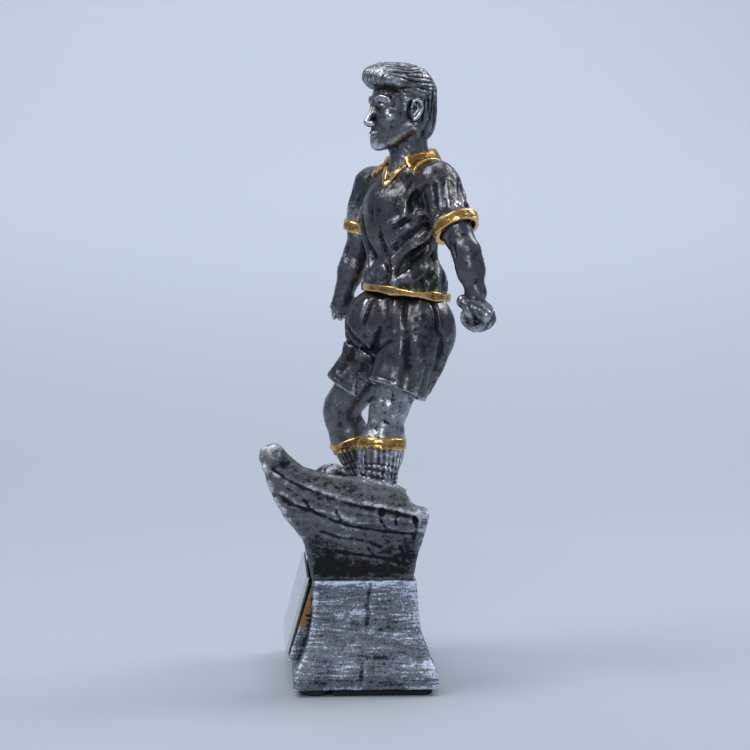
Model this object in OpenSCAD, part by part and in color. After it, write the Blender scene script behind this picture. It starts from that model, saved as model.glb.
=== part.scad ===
// Figure trophy: a football player standing on a rock ledge over a flared masonry plinth.
// Front of the trophy is -Y, the player's left is +X, up is +Z.
// The origin is the middle of the plinth's footprint, on the surface it stands on.

/* [Plinth] */
// Length of the plinth's foot, along X
base_w = 70; // [60:1:84]
// Depth of the plinth's foot, along Y
base_d = 39; // [34:1:46]
// Height of the joint between plinth and rock ledge
plinth_top_z = 30.5; // [26:0.5:36]
// How far each side of the plinth sweeps in above its foot
flare = 5.0; // [4:0.2:7]
// Thickness of the felt sheet and of the front bumpers
felt_t = 1.5; // [1:0.1:2.5]

/* [Rock ledge] */
// Height of the sunken floor that the player stands on
floor_z = 45; // [42:0.5:48]
// Height of the prow's tip over the front corner
prow_z = 68; // [62:0.5:72]

/* [Player] */
// Height of the player, sole to hair
figure_h = 127.4; // [110:0.2:140]
// How far the shoulders are turned from the front towards +X
chest_turn = 33; // [0:1:45]
// How far the hips are turned
hip_turn = 28; // [0:1:45]
// How far the head is turned
head_turn = 22; // [0:1:45]
// Radius of the football
ball_r = 6.7; // [6:0.1:8]

/* [Hardware] */
// Diameter of the clamp screw that holds ledge and plinth together
screw_d = 5; // [4:1:6]
// Diameter of the steel rods that stand the player on the ledge
rod_d = 2; // [1.5:0.5:3]
// Nameplate thickness
plate_t = 0.8; // [0.5:0.1:1.2]

/* [Hidden] */
$fn = 64;
hull_fn = 26;
cut = 0.01;
gap = 0.1;

// Colours
antique_silver = [0.42, 0.43, 0.45];
gold_paint = [0.80, 0.58, 0.18];
bright_plate = [0.85, 0.86, 0.87];
steel = [0.62, 0.63, 0.65];
black_felt = [0.06, 0.06, 0.07];

// Plinth
plinth_h = plinth_top_z - felt_t;
foot_h = 6;
waist_h = plinth_h * 0.65;
top_taper = 0.5;
joint_w = 0.7;
joint_depth = 0.5;
panel_w = 54;
panel_foot = [-20.6, 8];
panel_head = [-14.7, plinth_h];
plate_tilt = atan2(panel_head.x - panel_foot.x, panel_head.y - panel_foot.y);
plate_w = 52;
plate_len = 22;
tape_t = 0.4;
tape_margin = 1.5;

// Clamp screw, washer and insert, up the middle
screw_hole_r = screw_d / 2 + 0.25;
recess_r = 8;
recess_top_z = 14;
washer_r = 7;
washer_t = 1.2;
screw_head_r = 4.4;
screw_head_h = 3.4;
insert_r = 3.4;
insert_len = 8;
screw_end_z = plinth_top_z + insert_len - 1;

// Bumpers under the two front corners
bumper_r = 4.5;
bumper_x = base_w / 2 - 6;
bumper_y = -base_d / 2 + 6;
felt_margin = 1.5;

// Rock ledge
ledge_w = base_w;
ledge_foot_w = base_w - 2 * flare - 2 * top_taper + 1.2;
lip_z = plinth_top_z + 18.5;
far_rim_z = floor_z + 1;
rear_rim_z = floor_z + 3.5;
near_rim_in = 22;
near_rim_top_in = 29;
prow_r = 3.9;
basin_r = 6;

// The player stands at stand_y; points on the body are given as percentages of its height
stand_y = 5;
u = figure_h / 100;
function body_at(x, y, z) = [x * u, stand_y + y * u, floor_z + z * u];

hip_l = body_at(4.1, 7.9, 39.2);
hip_r = body_at(-4.1, 2.4, 38.5);
knee_l = body_at(6.3, 1.4, 22);
knee_r = body_at(-5.1, -8.5, 22.6);
ankle_l = body_at(6.3, 0.4, 5.4);
ankle_r = body_at(-5.9, -1.2, 5.4);
waist = body_at(0, 6.1, 48.8);
chest = body_at(0, 5, 64);
neck = body_at(0.6, 7.4, 79.2);
skull = body_at(1, 5, 91.6);
shoulder_l = body_at(8.8, 12.2, 73.2);
shoulder_r = body_at(-8.8, -0.6, 73.2);
elbow_l = body_at(16.8, 18, 58.5);
elbow_r = body_at(-11, -4, 58.4);
wrist_l = body_at(18, 20, 49.6);
wrist_r = body_at(-10.4, -7.4, 48.4);
fist_l = body_at(18.6, 20.2, 46);
palm_r = body_at(-10, -8.6, 44.6);

neck_r = 3.6 * u;
waist_lean = -8;
waist_half_w = 10.6 * u;
waist_half_d = 8.9 * u;
waist_peg_r = 6.4;
belt_h = 1.6;
arm_r = 2.9 * u;
sleeve_l_len = 11 * u;
sleeve_r_len = 9.4 * u;
sleeve_l_r = 5 * u;
sleeve_r_r = 4.4 * u;
collar_r = 6.6 * u;
collar_top_r = 4.7 * u;
collar_h = 3.8 * u;
sleeve_wall = 1.2;
cuff_h = 1.9;
socket_len = 5;
leg_r = 4.2 * u;
hem_l_share = 0.66;
hem_r_share = 0.74;
hem_wall = 1.3;
// Where the loose cloth of each shorts leg bulges, from its hip and in shares of the player's size
slack_l = [0, 2.9, 2];
slack_r = [1.8, -3.1, 3.2];
band_l_share = 0.26;
band_r_share = 0.34;
band_h = 2.8;
band_t = 0.6;
foot_turn_l = 24;
foot_turn_r = 20;
boot_top = 6.6 * u;
rod_in_ledge = 7;
rod_in_leg = 6;
ball_at = [-14.2, -7.6, floor_z + ball_r - 0.3];
ball_pin_r = 0.75;
ball_pin_len = 10;

// ---------- helpers ----------

// Puts children at a, with their +Z pointing at b
module along(a, b) {
    d = b - a;
    translate(a)
        rotate([0, acos(d.z / norm(d)), atan2(d.y, d.x)])
            children();
}

// A limb that narrows from radius ra at a to radius rb at b
module limb(a, b, ra, rb) {
    hull() {
        translate(a) sphere(r = ra, $fn = hull_fn);
        translate(b) sphere(r = rb, $fn = hull_fn);
    }
}

module ellipsoid(size) {
    scale(size) sphere(r = 1, $fn = hull_fn);
}

module rounded_block(w, d, r, h) {
    linear_extrude(h) {
        square([w - 2 * r, d], center = true);
        square([w, d - 2 * r], center = true);
        for (x = [-1, 1], y = [-1, 1])
            translate([x * (w / 2 - r), y * (d / 2 - r)]) circle(r = r);
    }
}

// ---------- plinth ----------

// Half of a side view of the plinth: upright foot, concave sweep, slight taper to the top
module sweep_outline(half_foot) {
    half_waist = half_foot - flare;
    rise = waist_h - foot_h;
    sweep_r = (flare * flare + rise * rise) / (2 * flare);
    difference() {
        square([half_foot, plinth_h]);
        intersection() {
            translate([half_waist + sweep_r, waist_h]) circle(r = sweep_r);
            translate([0, foot_h]) square([half_foot + 1, waist_h - foot_h + cut]);
        }
        polygon([
            [half_waist, waist_h],
            [half_waist - top_taper, plinth_h + 1],
            [half_foot + 1, plinth_h + 1],
            [half_foot + 1, waist_h]
        ]);
    }
}

module both_halves() {
    union() {
        children();
        mirror([1, 0]) children();
    }
}

module plinth_block(w, d) {
    intersection() {
        rotate([90, 0, 0])
            linear_extrude(d + 2, center = true)
                both_halves() sweep_outline(w / 2);
        rotate([90, 0, 90])
            linear_extrude(w + 2, center = true)
                both_halves() sweep_outline(d / 2);
    }
}

// Shallow joints between the blocks of masonry on the two end faces
module masonry_joints() {
    course_z = [plinth_h * 0.31, plinth_h * 0.62];
    difference() {
        union() {
            for (z = course_z)
                translate([-base_w, -base_d, z]) cube([2 * base_w, 2 * base_d, joint_w]);
            translate([-base_w, 1.5, course_z[1]]) cube([2 * base_w, joint_w, plinth_h]);
            translate([-base_w, -5, course_z[0]])
                cube([2 * base_w, joint_w, course_z[1] - course_z[0]]);
            translate([-base_w, 4.5, -1]) cube([2 * base_w, joint_w, course_z[0] + 1]);
        }
        plinth_block(base_w - 2 * joint_depth, base_d - 2 * joint_depth);
        translate([-panel_w / 2 - 1, -base_d, -2]) cube([panel_w + 2, 2 * base_d, plinth_h + 4]);
    }
}

// Flat panel across the hollow front face, which the nameplate is stuck to
module front_panel() {
    rotate([90, 0, 90])
        linear_extrude(panel_w, center = true)
            polygon([
                panel_head,
                panel_foot,
                [panel_foot.x + 2, panel_foot.y - 2],
                [0, panel_foot.y - 2],
                [0, panel_head.y]
            ]);
}

module pedestal() {
    color(antique_silver)
        translate([0, 0, felt_t])
            difference() {
                union() {
                    plinth_block(base_w, base_d);
                    front_panel();
                }
                masonry_joints();
                translate([0, 0, -1]) cylinder(r = screw_hole_r, h = plinth_h + 2);
                translate([0, 0, -1]) cylinder(r = recess_r, h = recess_top_z - felt_t + 1);
            }
}

module base_felt() {
    w = base_w - 2 * felt_margin;
    d = base_d - 2 * felt_margin;
    color(black_felt)
        difference() {
            rounded_block(w, d, 3, felt_t);
            for (x = [-1, 1])
                translate([x * (bumper_x + bumper_r), bumper_y - bumper_r, felt_t / 2])
                    cube([4 * bumper_r, 4 * bumper_r, felt_t + 2], center = true);
            translate([0, 0, -1]) cylinder(r = recess_r, h = felt_t + 2);
        }
}

module front_bumpers() {
    color(black_felt)
        for (x = [-1, 1])
            translate([x * bumper_x, bumper_y, 0])
                cylinder(r = bumper_r, h = felt_t);
}

// Places children on the sloping face of the front panel, with +Z out of the face
module on_panel() {
    translate([0, panel_foot.x, felt_t + panel_foot.y])
        rotate([90 - plate_tilt, 0, 0])
            children();
}

module nameplate_tape() {
    w = plate_w - 2 * tape_margin;
    len = plate_len - 2 * tape_margin;
    color(black_felt)
        on_panel()
            translate([-w / 2, tape_margin, 0]) cube([w, len, tape_t]);
}

module nameplate() {
    color(bright_plate)
        on_panel()
            translate([-plate_w / 2, 0, tape_t]) cube([plate_w, plate_len, plate_t]);
}

// ---------- clamp hardware ----------

module clamp_screw() {
    head_z = recess_top_z - washer_t - screw_head_h;
    color(steel)
        translate([0, 0, head_z])
            difference() {
                union() {
                    cylinder(r = screw_head_r, h = screw_head_h);
                    cylinder(r = screw_d / 2 - gap, h = screw_end_z - head_z);
                }
                translate([0, 0, -1]) cylinder(r = 2.1, h = 3, $fn = 6);
            }
}

module washer() {
    color(steel)
        translate([0, 0, recess_top_z - washer_t])
            difference() {
                cylinder(r = washer_r, h = washer_t);
                translate([0, 0, -1]) cylinder(r = screw_d / 2 + gap, h = washer_t + 2);
            }
}

module threaded_insert() {
    color(gold_paint)
        translate([0, 0, plinth_top_z])
            difference() {
                cylinder(r = insert_r, h = insert_len);
                translate([0, 0, -1]) cylinder(r = screw_d / 2, h = insert_len + 2);
            }
}

// ---------- rock ledge ----------

// Side view of the ledge: overhang, prow over the front, raised rim, drop to the rear lip
module ledge_side_outline() {
    z0 = plinth_top_z;
    polygon([
        [-14.7, z0],
        [-15.6, z0 + 7],
        [-17, z0 + 12],
        [-21.5, z0 + 17.5],
        [-25, z0 + 24],
        [-27.4, prow_z - 6],
        [-22, prow_z - 3.5],
        [-16.5, prow_z - 6.8],
        [-6, prow_z - 9],
        [7, prow_z - 11.2],
        [11.4, prow_z - 13],
        [12.4, lip_z + 1.6],
        [16.6, lip_z + 0.6],
        [16.9, lip_z - 0.8],
        [15.4, z0 + 11],
        [13, z0]
    ]);
}

// Rounded tip of the prow, at the near end of the front edge
module prow_tip() {
    translate([near_rim_top_in, -24.4, prow_z - prow_r])
        rotate([0, 90, 0])
            cylinder(r = prow_r, h = ledge_w / 2 - near_rim_top_in);
}

// Front view of the ledge: narrow where it meets the plinth, full width at the lip
module ledge_front_outline() {
    near_side = [
        [ledge_foot_w / 2, plinth_top_z],
        [ledge_foot_w / 2 + 1.6, plinth_top_z + 8],
        [ledge_w / 2, lip_z - 1],
        [ledge_w / 2, prow_z + 1]
    ];
    far_side = [for (i = [len(near_side) - 1:-1:0]) [-near_side[i].x, near_side[i].y]];
    polygon(concat(near_side, far_side));
}

// Everything above the low rims: slopes up from the far side to the near rim's foot
module open_side() {
    rotate([90, 0, 0])
        linear_extrude(2 * base_d, center = true)
            polygon([
                [-base_w, far_rim_z],
                [-ledge_w / 2, far_rim_z],
                [near_rim_in, rear_rim_z],
                [near_rim_top_in, prow_z - 8],
                [near_rim_top_in, prow_z + 2],
                [-base_w, prow_z + 2]
            ]);
}

module basin() {
    translate([-4, -1, floor_z])
        rounded_block(2 * (near_rim_in + 4), 30, basin_r, prow_z);
}

module deck() {
    color(antique_silver)
        difference() {
            union() {
                intersection() {
                    rotate([90, 0, 90])
                        linear_extrude(base_w + 2, center = true) ledge_side_outline();
                    rotate([90, 0, 0])
                        linear_extrude(2 * base_d, center = true) ledge_front_outline();
                }
                prow_tip();
            }
            open_side();
            basin();
            translate([0, 0, plinth_top_z - 1]) cylinder(r = insert_r, h = insert_len + 1);
            for (a = [ankle_l, ankle_r])
                translate([a.x, a.y, floor_z - rod_in_ledge])
                    cylinder(r = rod_d / 2, h = rod_in_ledge + 1);
            translate([ball_at.x, ball_at.y, floor_z - ball_pin_len / 2])
                cylinder(r = ball_pin_r, h = ball_pin_len);
        }
}

// ---------- clothing ----------

module at_waist() {
    translate(waist)
        rotate([waist_lean, 0, 0])
            rotate([0, 0, hip_turn])
                children();
}

// Waist in plan: two round ends joined by straight sides
module waist_slice(grow, h) {
    end_r = waist_half_d + grow;
    end_x = waist_half_w - waist_half_d;
    linear_extrude(h) {
        square([2 * end_x, 2 * end_r], center = true);
        for (side = [-1, 1])
            translate([side * end_x, 0]) circle(r = end_r);
    }
}

module shirt_body() {
    hull() {
        at_waist() translate([0, 0, belt_h]) waist_slice(0, 1);
        at_waist() translate([0, 0, 6]) waist_slice(1, 1);
        translate(chest) rotate([0, 0, chest_turn]) ellipsoid([10.6 * u, 8 * u, 8 * u]);
        translate(shoulder_l) sphere(r = 4 * u, $fn = hull_fn);
        translate(shoulder_r) sphere(r = 4 * u, $fn = hull_fn);
        translate(neck - [0, 0, 1.4 * u]) cylinder(r = 5.2 * u, h = 1, $fn = hull_fn);
    }
}

module sleeve(shoulder, elbow, end_r, len) {
    hull() {
        translate(shoulder) sphere(r = 4.2 * u, $fn = hull_fn);
        along(shoulder, elbow)
            translate([0, 0, len - 1]) cylinder(r = end_r, h = 1, $fn = hull_fn);
    }
}

// The open end of a sleeve, and the socket further in that takes the arm's peg
module sleeve_bore(shoulder, elbow, end_r, len) {
    along(shoulder, elbow) {
        translate([0, 0, len - 3]) cylinder(r = end_r - sleeve_wall, h = 4);
        translate([0, 0, len - 3 - socket_len])
            cylinder(r = arm_r, h = socket_len + 1);
    }
}

module torso() {
    color(antique_silver)
        difference() {
            union() {
                shirt_body();
                sleeve(shoulder_l, elbow_l, sleeve_l_r, sleeve_l_len);
                sleeve(shoulder_r, elbow_r, sleeve_r_r, sleeve_r_len);
            }
            sleeve_bore(shoulder_l, elbow_l, sleeve_l_r, sleeve_l_len);
            sleeve_bore(shoulder_r, elbow_r, sleeve_r_r, sleeve_r_len);
            collar_cone();
            translate(neck - [0, 0, 6 * u]) cylinder(r = neck_r, h = 12 * u);
            at_waist() translate([0, 0, -1]) cylinder(r = waist_peg_r, h = 9);
        }
}

module cuff(shoulder, elbow, end_r, len) {
    color(gold_paint)
        along(shoulder, elbow)
            translate([0, 0, len])
                difference() {
                    cylinder(r = end_r + 0.4, h = cuff_h);
                    translate([0, 0, -1]) cylinder(r = end_r - sleeve_wall, h = cuff_h + 2);
                }
}

module left_cuff() {
    cuff(shoulder_l, elbow_l, sleeve_l_r, sleeve_l_len);
}

module right_cuff() {
    cuff(shoulder_r, elbow_r, sleeve_r_r, sleeve_r_len);
}

// The cone that the collar lies on, seated in the top of the shirt
module collar_cone() {
    translate(neck - [0, 0, 2.6 * u])
        cylinder(r1 = collar_r, r2 = collar_top_r, h = collar_h);
}

// Turned-down collar, open at the throat
module collar() {
    color(gold_paint)
        difference() {
            collar_cone();
            translate(neck - [0, 0, 4 * u]) cylinder(r = neck_r, h = 8 * u);
            translate(neck)
                rotate([0, 0, chest_turn])
                    translate([-1, -10 * u, -4 * u]) cube([2, 10 * u, 8 * u]);
        }
}

module belt() {
    color(gold_paint)
        at_waist()
            difference() {
                waist_slice(0.5, belt_h);
                translate([0, 0, -1]) cylinder(r = waist_peg_r, h = belt_h + 2);
            }
}

// From the waist to the hem of one leg, with a second ball where the loose cloth bulges
module shorts_leg(hip, knee, end_r, hem_share, slack) {
    hull() {
        at_waist() translate([0, 0, -1]) waist_slice(-0.6, 1);
        translate(hip) sphere(r = 6.4 * u, $fn = hull_fn);
        translate(hip + slack * u) sphere(r = 6.2 * u, $fn = hull_fn);
        along(hip, knee)
            translate([0, 0, hem_share * norm(knee - hip) - 1])
                cylinder(r = end_r, h = 1, $fn = hull_fn);
    }
}

// Open hem, and the socket further up that takes the leg's peg
module shorts_bore(hip, knee, end_r, hem_share) {
    hem = hem_share * norm(knee - hip);
    along(hip, knee) {
        translate([0, 0, hem - 3.5]) cylinder(r = end_r - hem_wall, h = 4.5);
        translate([0, 0, hem - 3.5 - socket_len]) cylinder(r = leg_r, h = socket_len + 1);
    }
}

module shorts() {
    hem_l_r = 6.9 * u;
    hem_r_r = 6.5 * u;
    color(antique_silver)
        difference() {
            union() {
                shorts_leg(hip_l, knee_l, hem_l_r, hem_l_share, slack_l);
                shorts_leg(hip_r, knee_r, hem_r_r, hem_r_share, slack_r);
                at_waist() cylinder(r = waist_peg_r - gap, h = 7.5);
            }
            shorts_bore(hip_l, knee_l, hem_l_r, hem_l_share);
            shorts_bore(hip_r, knee_r, hem_r_r, hem_r_share);
        }
}

// ---------- body ----------

module at_skull() {
    translate(skull) rotate([0, 0, head_turn]) children();
}

module head() {
    color(antique_silver) {
        // cranium, jaw and the hair that sweeps up over the brow
        hull() {
            at_skull() translate([0, 0.6, 0] * u) ellipsoid([6.6, 7.6, 6.8] * u);
            at_skull() translate([0, -2.6, -7] * u) ellipsoid([4.2, 4, 4.2] * u);
        }
        hull() {
            at_skull() translate([0, 0.8, 1.4] * u) ellipsoid([6.9, 7, 6.8] * u);
            at_skull() translate([0, -6, 4.4] * u) ellipsoid([4.4, 2, 2.4] * u);
            at_skull() translate([0, 4.6, -5.6] * u) ellipsoid([4.6, 2.6, 2.6] * u);
        }
        hull() {
            at_skull() translate([0, -7.2, -1.6] * u) sphere(r = 0.5 * u, $fn = hull_fn);
            at_skull() translate([0, -7.6, -3.8] * u) sphere(r = 0.9 * u, $fn = hull_fn);
        }
        for (side = [-1, 1])
            hull()
                at_skull() translate([side * 6.5, 0.6, -2] * u) ellipsoid([0.8, 1.5, 2.2] * u);
        translate(neck - [0, 0, 6 * u - gap]) cylinder(r = neck_r - gap, h = 12 * u);
    }
}

// Upper arm from the sleeve's socket, then the forearm
module arm_shape(shoulder, elbow, wrist, len) {
    peg_at = len - 3 - socket_len + gap;
    along(shoulder, elbow)
        translate([0, 0, peg_at])
            cylinder(r = arm_r - gap, h = norm(elbow - shoulder) - peg_at);
    limb(elbow, wrist, arm_r, 2.2 * u);
}

module left_arm() {
    color(antique_silver) {
        arm_shape(shoulder_l, elbow_l, wrist_l, sleeve_l_len);
        limb(wrist_l, fist_l, 2.3 * u, 3.3 * u);
        translate(fist_l)
            rotate([0, 0, chest_turn])
                for (i = [0:3])
                    translate([0.4, 2.6 - 1.6 * i, -2] * u)
                        rotate([0, 90, 0])
                            cylinder(r = 1.1 * u, h = 4.4 * u, center = true);
    }
}

module right_arm() {
    color(antique_silver) {
        arm_shape(shoulder_r, elbow_r, wrist_r, sleeve_r_len);
        limb(wrist_r, palm_r, 2.1 * u, 2.5 * u);
        limb(palm_r, palm_r + [1, -1, -4] * u, 1.8 * u, 1.3 * u);
        limb(palm_r, palm_r + [0.6, -2.4, -2] * u, 1.3 * u, 1.1 * u);
        limb(palm_r, palm_r + [0.6, 1, -3.6] * u, 1.7 * u, 1.2 * u);
    }
}

// Thigh peg, knee and the shin with its sock, ending flat on the boot
module leg_shape(hip, knee, ankle, hem_share, band_share) {
    peg_at = hem_share * norm(knee - hip) - 3.5 - socket_len + gap;
    difference() {
        union() {
            along(hip, knee)
                translate([0, 0, peg_at])
                    cylinder(r = leg_r - gap, h = norm(knee - hip) - peg_at);
            limb(knee, knee + (ankle - knee) * 0.4, leg_r, leg_r + 0.2);
            limb(knee + (ankle - knee) * 0.4, ankle, leg_r + 0.2, 3.5 * u);
        }
        translate([ankle.x - 10, ankle.y - 10, floor_z - 10]) cube([20, 20, 10 + boot_top]);
        translate([ankle.x, ankle.y, floor_z]) cylinder(r = rod_d / 2, h = boot_top + rod_in_leg);
        along(knee, ankle)
            translate([0, 0, band_share * norm(ankle - knee)])
                difference() {
                    cylinder(r = leg_r + 4, h = band_h);
                    translate([0, 0, -1]) cylinder(r = leg_r - band_t, h = band_h + 2);
                }
    }
}

module left_leg() {
    color(antique_silver) leg_shape(hip_l, knee_l, ankle_l, hem_l_share, band_l_share);
}

module right_leg() {
    color(antique_silver) leg_shape(hip_r, knee_r, ankle_r, hem_r_share, band_r_share);
}

module sock_band(knee, ankle, band_share) {
    color(gold_paint)
        along(knee, ankle)
            translate([0, 0, band_share * norm(ankle - knee)])
                difference() {
                    cylinder(r = leg_r + band_t, h = band_h);
                    translate([0, 0, -1]) cylinder(r = leg_r - band_t, h = band_h + 2);
                }
}

module left_sock_band() {
    sock_band(knee_l, ankle_l, band_l_share);
}

module right_sock_band() {
    sock_band(knee_r, ankle_r, band_r_share);
}

module boot_shape(ankle, turn) {
    heel = -2.6 * u;
    toe = 9.6 * u;
    difference() {
        translate([ankle.x, ankle.y, floor_z])
            rotate([0, 0, turn])
                hull() {
                    translate([0, -heel, 0]) cylinder(r = 2.6 * u, h = 3 * u, $fn = hull_fn);
                    translate([0, -toe + 3 * u, 0]) cylinder(r = 3.2 * u, h = 1.6 * u, $fn = hull_fn);
                    translate([0, -toe + 3.4 * u, 0]) cylinder(r = 2.4 * u, h = 2.8 * u, $fn = hull_fn);
                    cylinder(r = 3.5 * u, h = boot_top, $fn = hull_fn);
                }
        translate([ankle.x, ankle.y, floor_z - 1]) cylinder(r = rod_d / 2, h = boot_top + 2);
    }
}

module left_boot() {
    color(antique_silver) boot_shape(ankle_l, foot_turn_l);
}

module right_boot() {
    color(antique_silver) boot_shape(ankle_r, foot_turn_r);
}

module foot_rods() {
    color(steel)
        for (a = [ankle_l, ankle_r])
            translate([a.x, a.y, floor_z - rod_in_ledge])
                cylinder(r = rod_d / 2, h = rod_in_ledge + boot_top + rod_in_leg - 0.5);
}

module football() {
    color(antique_silver)
        difference() {
            translate(ball_at) sphere(r = ball_r);
            translate([ball_at.x - 10, ball_at.y - 10, floor_z - 5]) cube([20, 20, 5]);
            translate([ball_at.x, ball_at.y, floor_z - 1])
                cylinder(r = ball_pin_r, h = ball_pin_len / 2 + 1);
        }
}

module ball_pin() {
    color(steel)
        translate([ball_at.x, ball_at.y, floor_z - ball_pin_len / 2])
            cylinder(r = ball_pin_r, h = ball_pin_len);
}

pedestal();
deck();
base_felt();
front_bumpers();
nameplate();
nameplate_tape();
clamp_screw();
washer();
threaded_insert();
torso();
shorts();
head();
left_arm();
right_arm();
left_leg();
right_leg();
left_boot();
right_boot();
foot_rods();
collar();
left_cuff();
right_cuff();
belt();
left_sock_band();
right_sock_band();
football();
ball_pin();
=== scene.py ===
"""Modelled finish of the figure trophy: a football player on a rock ledge over a masonry plinth.

The cast pieces are sculpted in a clay grid, in millimetres in the trophy's own frame, and then meshed.
The nameplate, felt and bumpers are made as plain meshes, and the small fixings keep their CAD shape.
"""
import math
from collections import namedtuple

import bmesh
import bpy
import numpy as np
from mathutils import Matrix, Vector


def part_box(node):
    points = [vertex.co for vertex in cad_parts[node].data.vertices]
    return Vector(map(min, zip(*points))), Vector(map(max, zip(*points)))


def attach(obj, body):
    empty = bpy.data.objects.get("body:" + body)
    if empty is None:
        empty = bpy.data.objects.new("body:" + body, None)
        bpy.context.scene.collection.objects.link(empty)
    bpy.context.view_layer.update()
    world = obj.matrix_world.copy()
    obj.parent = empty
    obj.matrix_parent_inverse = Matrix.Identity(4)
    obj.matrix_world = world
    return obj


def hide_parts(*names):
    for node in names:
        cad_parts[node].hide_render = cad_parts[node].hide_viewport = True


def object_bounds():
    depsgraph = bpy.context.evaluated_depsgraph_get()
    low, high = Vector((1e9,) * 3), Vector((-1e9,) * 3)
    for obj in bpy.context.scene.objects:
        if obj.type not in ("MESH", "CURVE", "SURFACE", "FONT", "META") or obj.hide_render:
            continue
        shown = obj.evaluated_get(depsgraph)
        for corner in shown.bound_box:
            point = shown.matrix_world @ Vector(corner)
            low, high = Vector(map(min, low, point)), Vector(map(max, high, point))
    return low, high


bl_info = {
    "name": "Figure trophy",
    "version": (1, 0, 0),
    "blender": (4, 5, 0),
    "location": "3D View > Sidebar > Trophy",
    "description": "Builds the finished pieces of a cast football trophy",
    "category": "Object",
}

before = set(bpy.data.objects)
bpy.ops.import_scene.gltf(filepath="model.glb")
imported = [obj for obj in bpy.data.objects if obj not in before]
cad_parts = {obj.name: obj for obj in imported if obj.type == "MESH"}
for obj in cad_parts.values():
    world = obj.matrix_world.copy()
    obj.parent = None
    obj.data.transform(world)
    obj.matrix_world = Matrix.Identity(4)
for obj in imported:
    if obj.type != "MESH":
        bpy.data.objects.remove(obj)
cad_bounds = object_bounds()

# one millimetre in metres
MM = 0.001
# the clay's distance where nothing has been pressed yet
FAR = 4.0
# texture moves only the clay that lies this near its skin
SKIN = 1.2
SEED = 7


def cad_box(node):
    """Lowest and highest corner of a CAD node, in millimetres"""
    low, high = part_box(node)
    return np.array(low) / MM, np.array(high) / MM


# ---------- the frame's driving sizes ----------

PED_LOW, PED_HIGH = cad_box("pedestal")
DECK_LOW, DECK_HIGH = cad_box("deck")
RODS_HIGH = cad_box("foot_rods")[1]
FLOOR = cad_box("left_boot")[0][2]
HEAD_TOP = cad_box("head")[1][2]
ROD_R = 1.0
# one hundredth of the player's height
U = (HEAD_TOP - FLOOR) / 99.8
# the rod farthest back stands in the left ankle, 0.4 hundredths behind the player's own origin
STAND_Y = RODS_HIGH[1] - ROD_R - 0.4 * U
CHEST_TURN = math.radians(33)
HIP_TURN = math.radians(28)
HEAD_TURN = math.radians(22)


def body_at(x, y, z):
    """A point on the player, given in hundredths of the player's height"""
    return np.array([x * U, STAND_Y + y * U, FLOOR + z * U])


WAIST = body_at(0, 6.1, 48.8)
CHEST = body_at(0, 5, 64)
NECK = body_at(0.6, 7.4, 79.2)
SKULL = body_at(1, 5, 91.6)
WAIST_LEAN = math.radians(8)
WAIST_NORMAL = np.array([0, math.sin(WAIST_LEAN), math.cos(WAIST_LEAN)])

# sleeve is its length from the shoulder, and opening the radius at its end
Arm = namedtuple("Arm", "shoulder elbow wrist sleeve opening")
LEFT_ARM = Arm(body_at(8.8, 12.2, 73.2), body_at(16.8, 18, 58.5), body_at(18, 20, 49.6), 11 * U, 6.2)
RIGHT_ARM = Arm(body_at(-8.8, -0.6, 73.2), body_at(-11, -4, 58.4), body_at(-10.4, -7.4, 48.4), 9.4 * U, 5.5)
ARMS = (LEFT_ARM, RIGHT_ARM)

# covered is the share of the thigh inside the shorts, and band the share of the shin above the sock;
# turn is the foot's angle in degrees, and stout how full the calf is
Leg = namedtuple("Leg", "hip knee ankle covered band turn stout")
LEFT_LEG = Leg(body_at(4.1, 7.9, 39.2), body_at(6.3, 1.4, 22), body_at(6.3, 0.4, 5.4), 0.66, 0.26, 24, 1.6)
RIGHT_LEG = Leg(body_at(-4.1, 2.4, 38.5), body_at(-5.1, -8.5, 22.6), body_at(-5.9, -1.2, 5.4),
                0.74, 0.34, 20, 0.4)
LEGS = (LEFT_LEG, RIGHT_LEG)


# ---------- vectors and smooth joins ----------

def unit(v):
    return np.asarray(v, float) / np.linalg.norm(v)


def along(x, y, z, origin, axis):
    """How far points lie from the origin, measured along an axis"""
    return (x - origin[0]) * axis[0] + (y - origin[1]) * axis[1] + (z - origin[2]) * axis[2]


def turned(angle, vector=(0, -1, 0)):
    """A vector turned about the upright axis"""
    c, s = math.cos(angle), math.sin(angle)
    x, y, z = vector
    return np.array([c * x - s * y, s * x + c * y, z])


def turn_matrix(yaw=0.0, pitch=0.0, roll=0.0):
    """Columns are the turned axes: roll about Y, then pitch about X, then yaw about Z"""
    return np.array(
        Matrix.Rotation(yaw, 3, "Z") @ Matrix.Rotation(pitch, 3, "X") @ Matrix.Rotation(roll, 3, "Y")
    )


def soft_min(a, b, blend):
    h = np.maximum(blend - np.abs(a - b), 0) / blend
    return np.minimum(a, b) - h * h * (blend / 4)


def soft_max(a, b, blend):
    return -soft_min(-a, -b, blend)


def smooth_step(low, high, x):
    t = np.clip((x - low) / (high - low), 0, 1)
    return t * t * (3 - 2 * t)


def spline(points, pieces=5):
    """Catmull-Rom curve through points; extra columns, such as a radius, are carried along"""
    p = np.array(points, float)
    ends = np.vstack([2 * p[0] - p[1], p, 2 * p[-1] - p[-2]])
    t = np.linspace(0, 1, pieces, endpoint=False)[:, None]
    rows = []
    for a, b, c, d in zip(ends, ends[1:], ends[2:], ends[3:]):
        rows.append(0.5 * (2 * b + (c - a) * t + (2 * a - 5 * b + 4 * c - d) * t**2
                           + (3 * b - a - 3 * c + d) * t**3))
    return np.vstack(rows + [p[-1:]])


# ---------- value noise ----------

def hashed(i, j, k, seed):
    n = (i * 374761393 + j * 668265263 + k * 2147483647 + seed * 974634777) & 0xFFFFFFFF
    n = ((n ^ (n >> 13)) * 1274126177) & 0xFFFFFFFF
    return ((n ^ (n >> 16)) & 0xFFFF) / 32767.5 - 1


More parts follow.
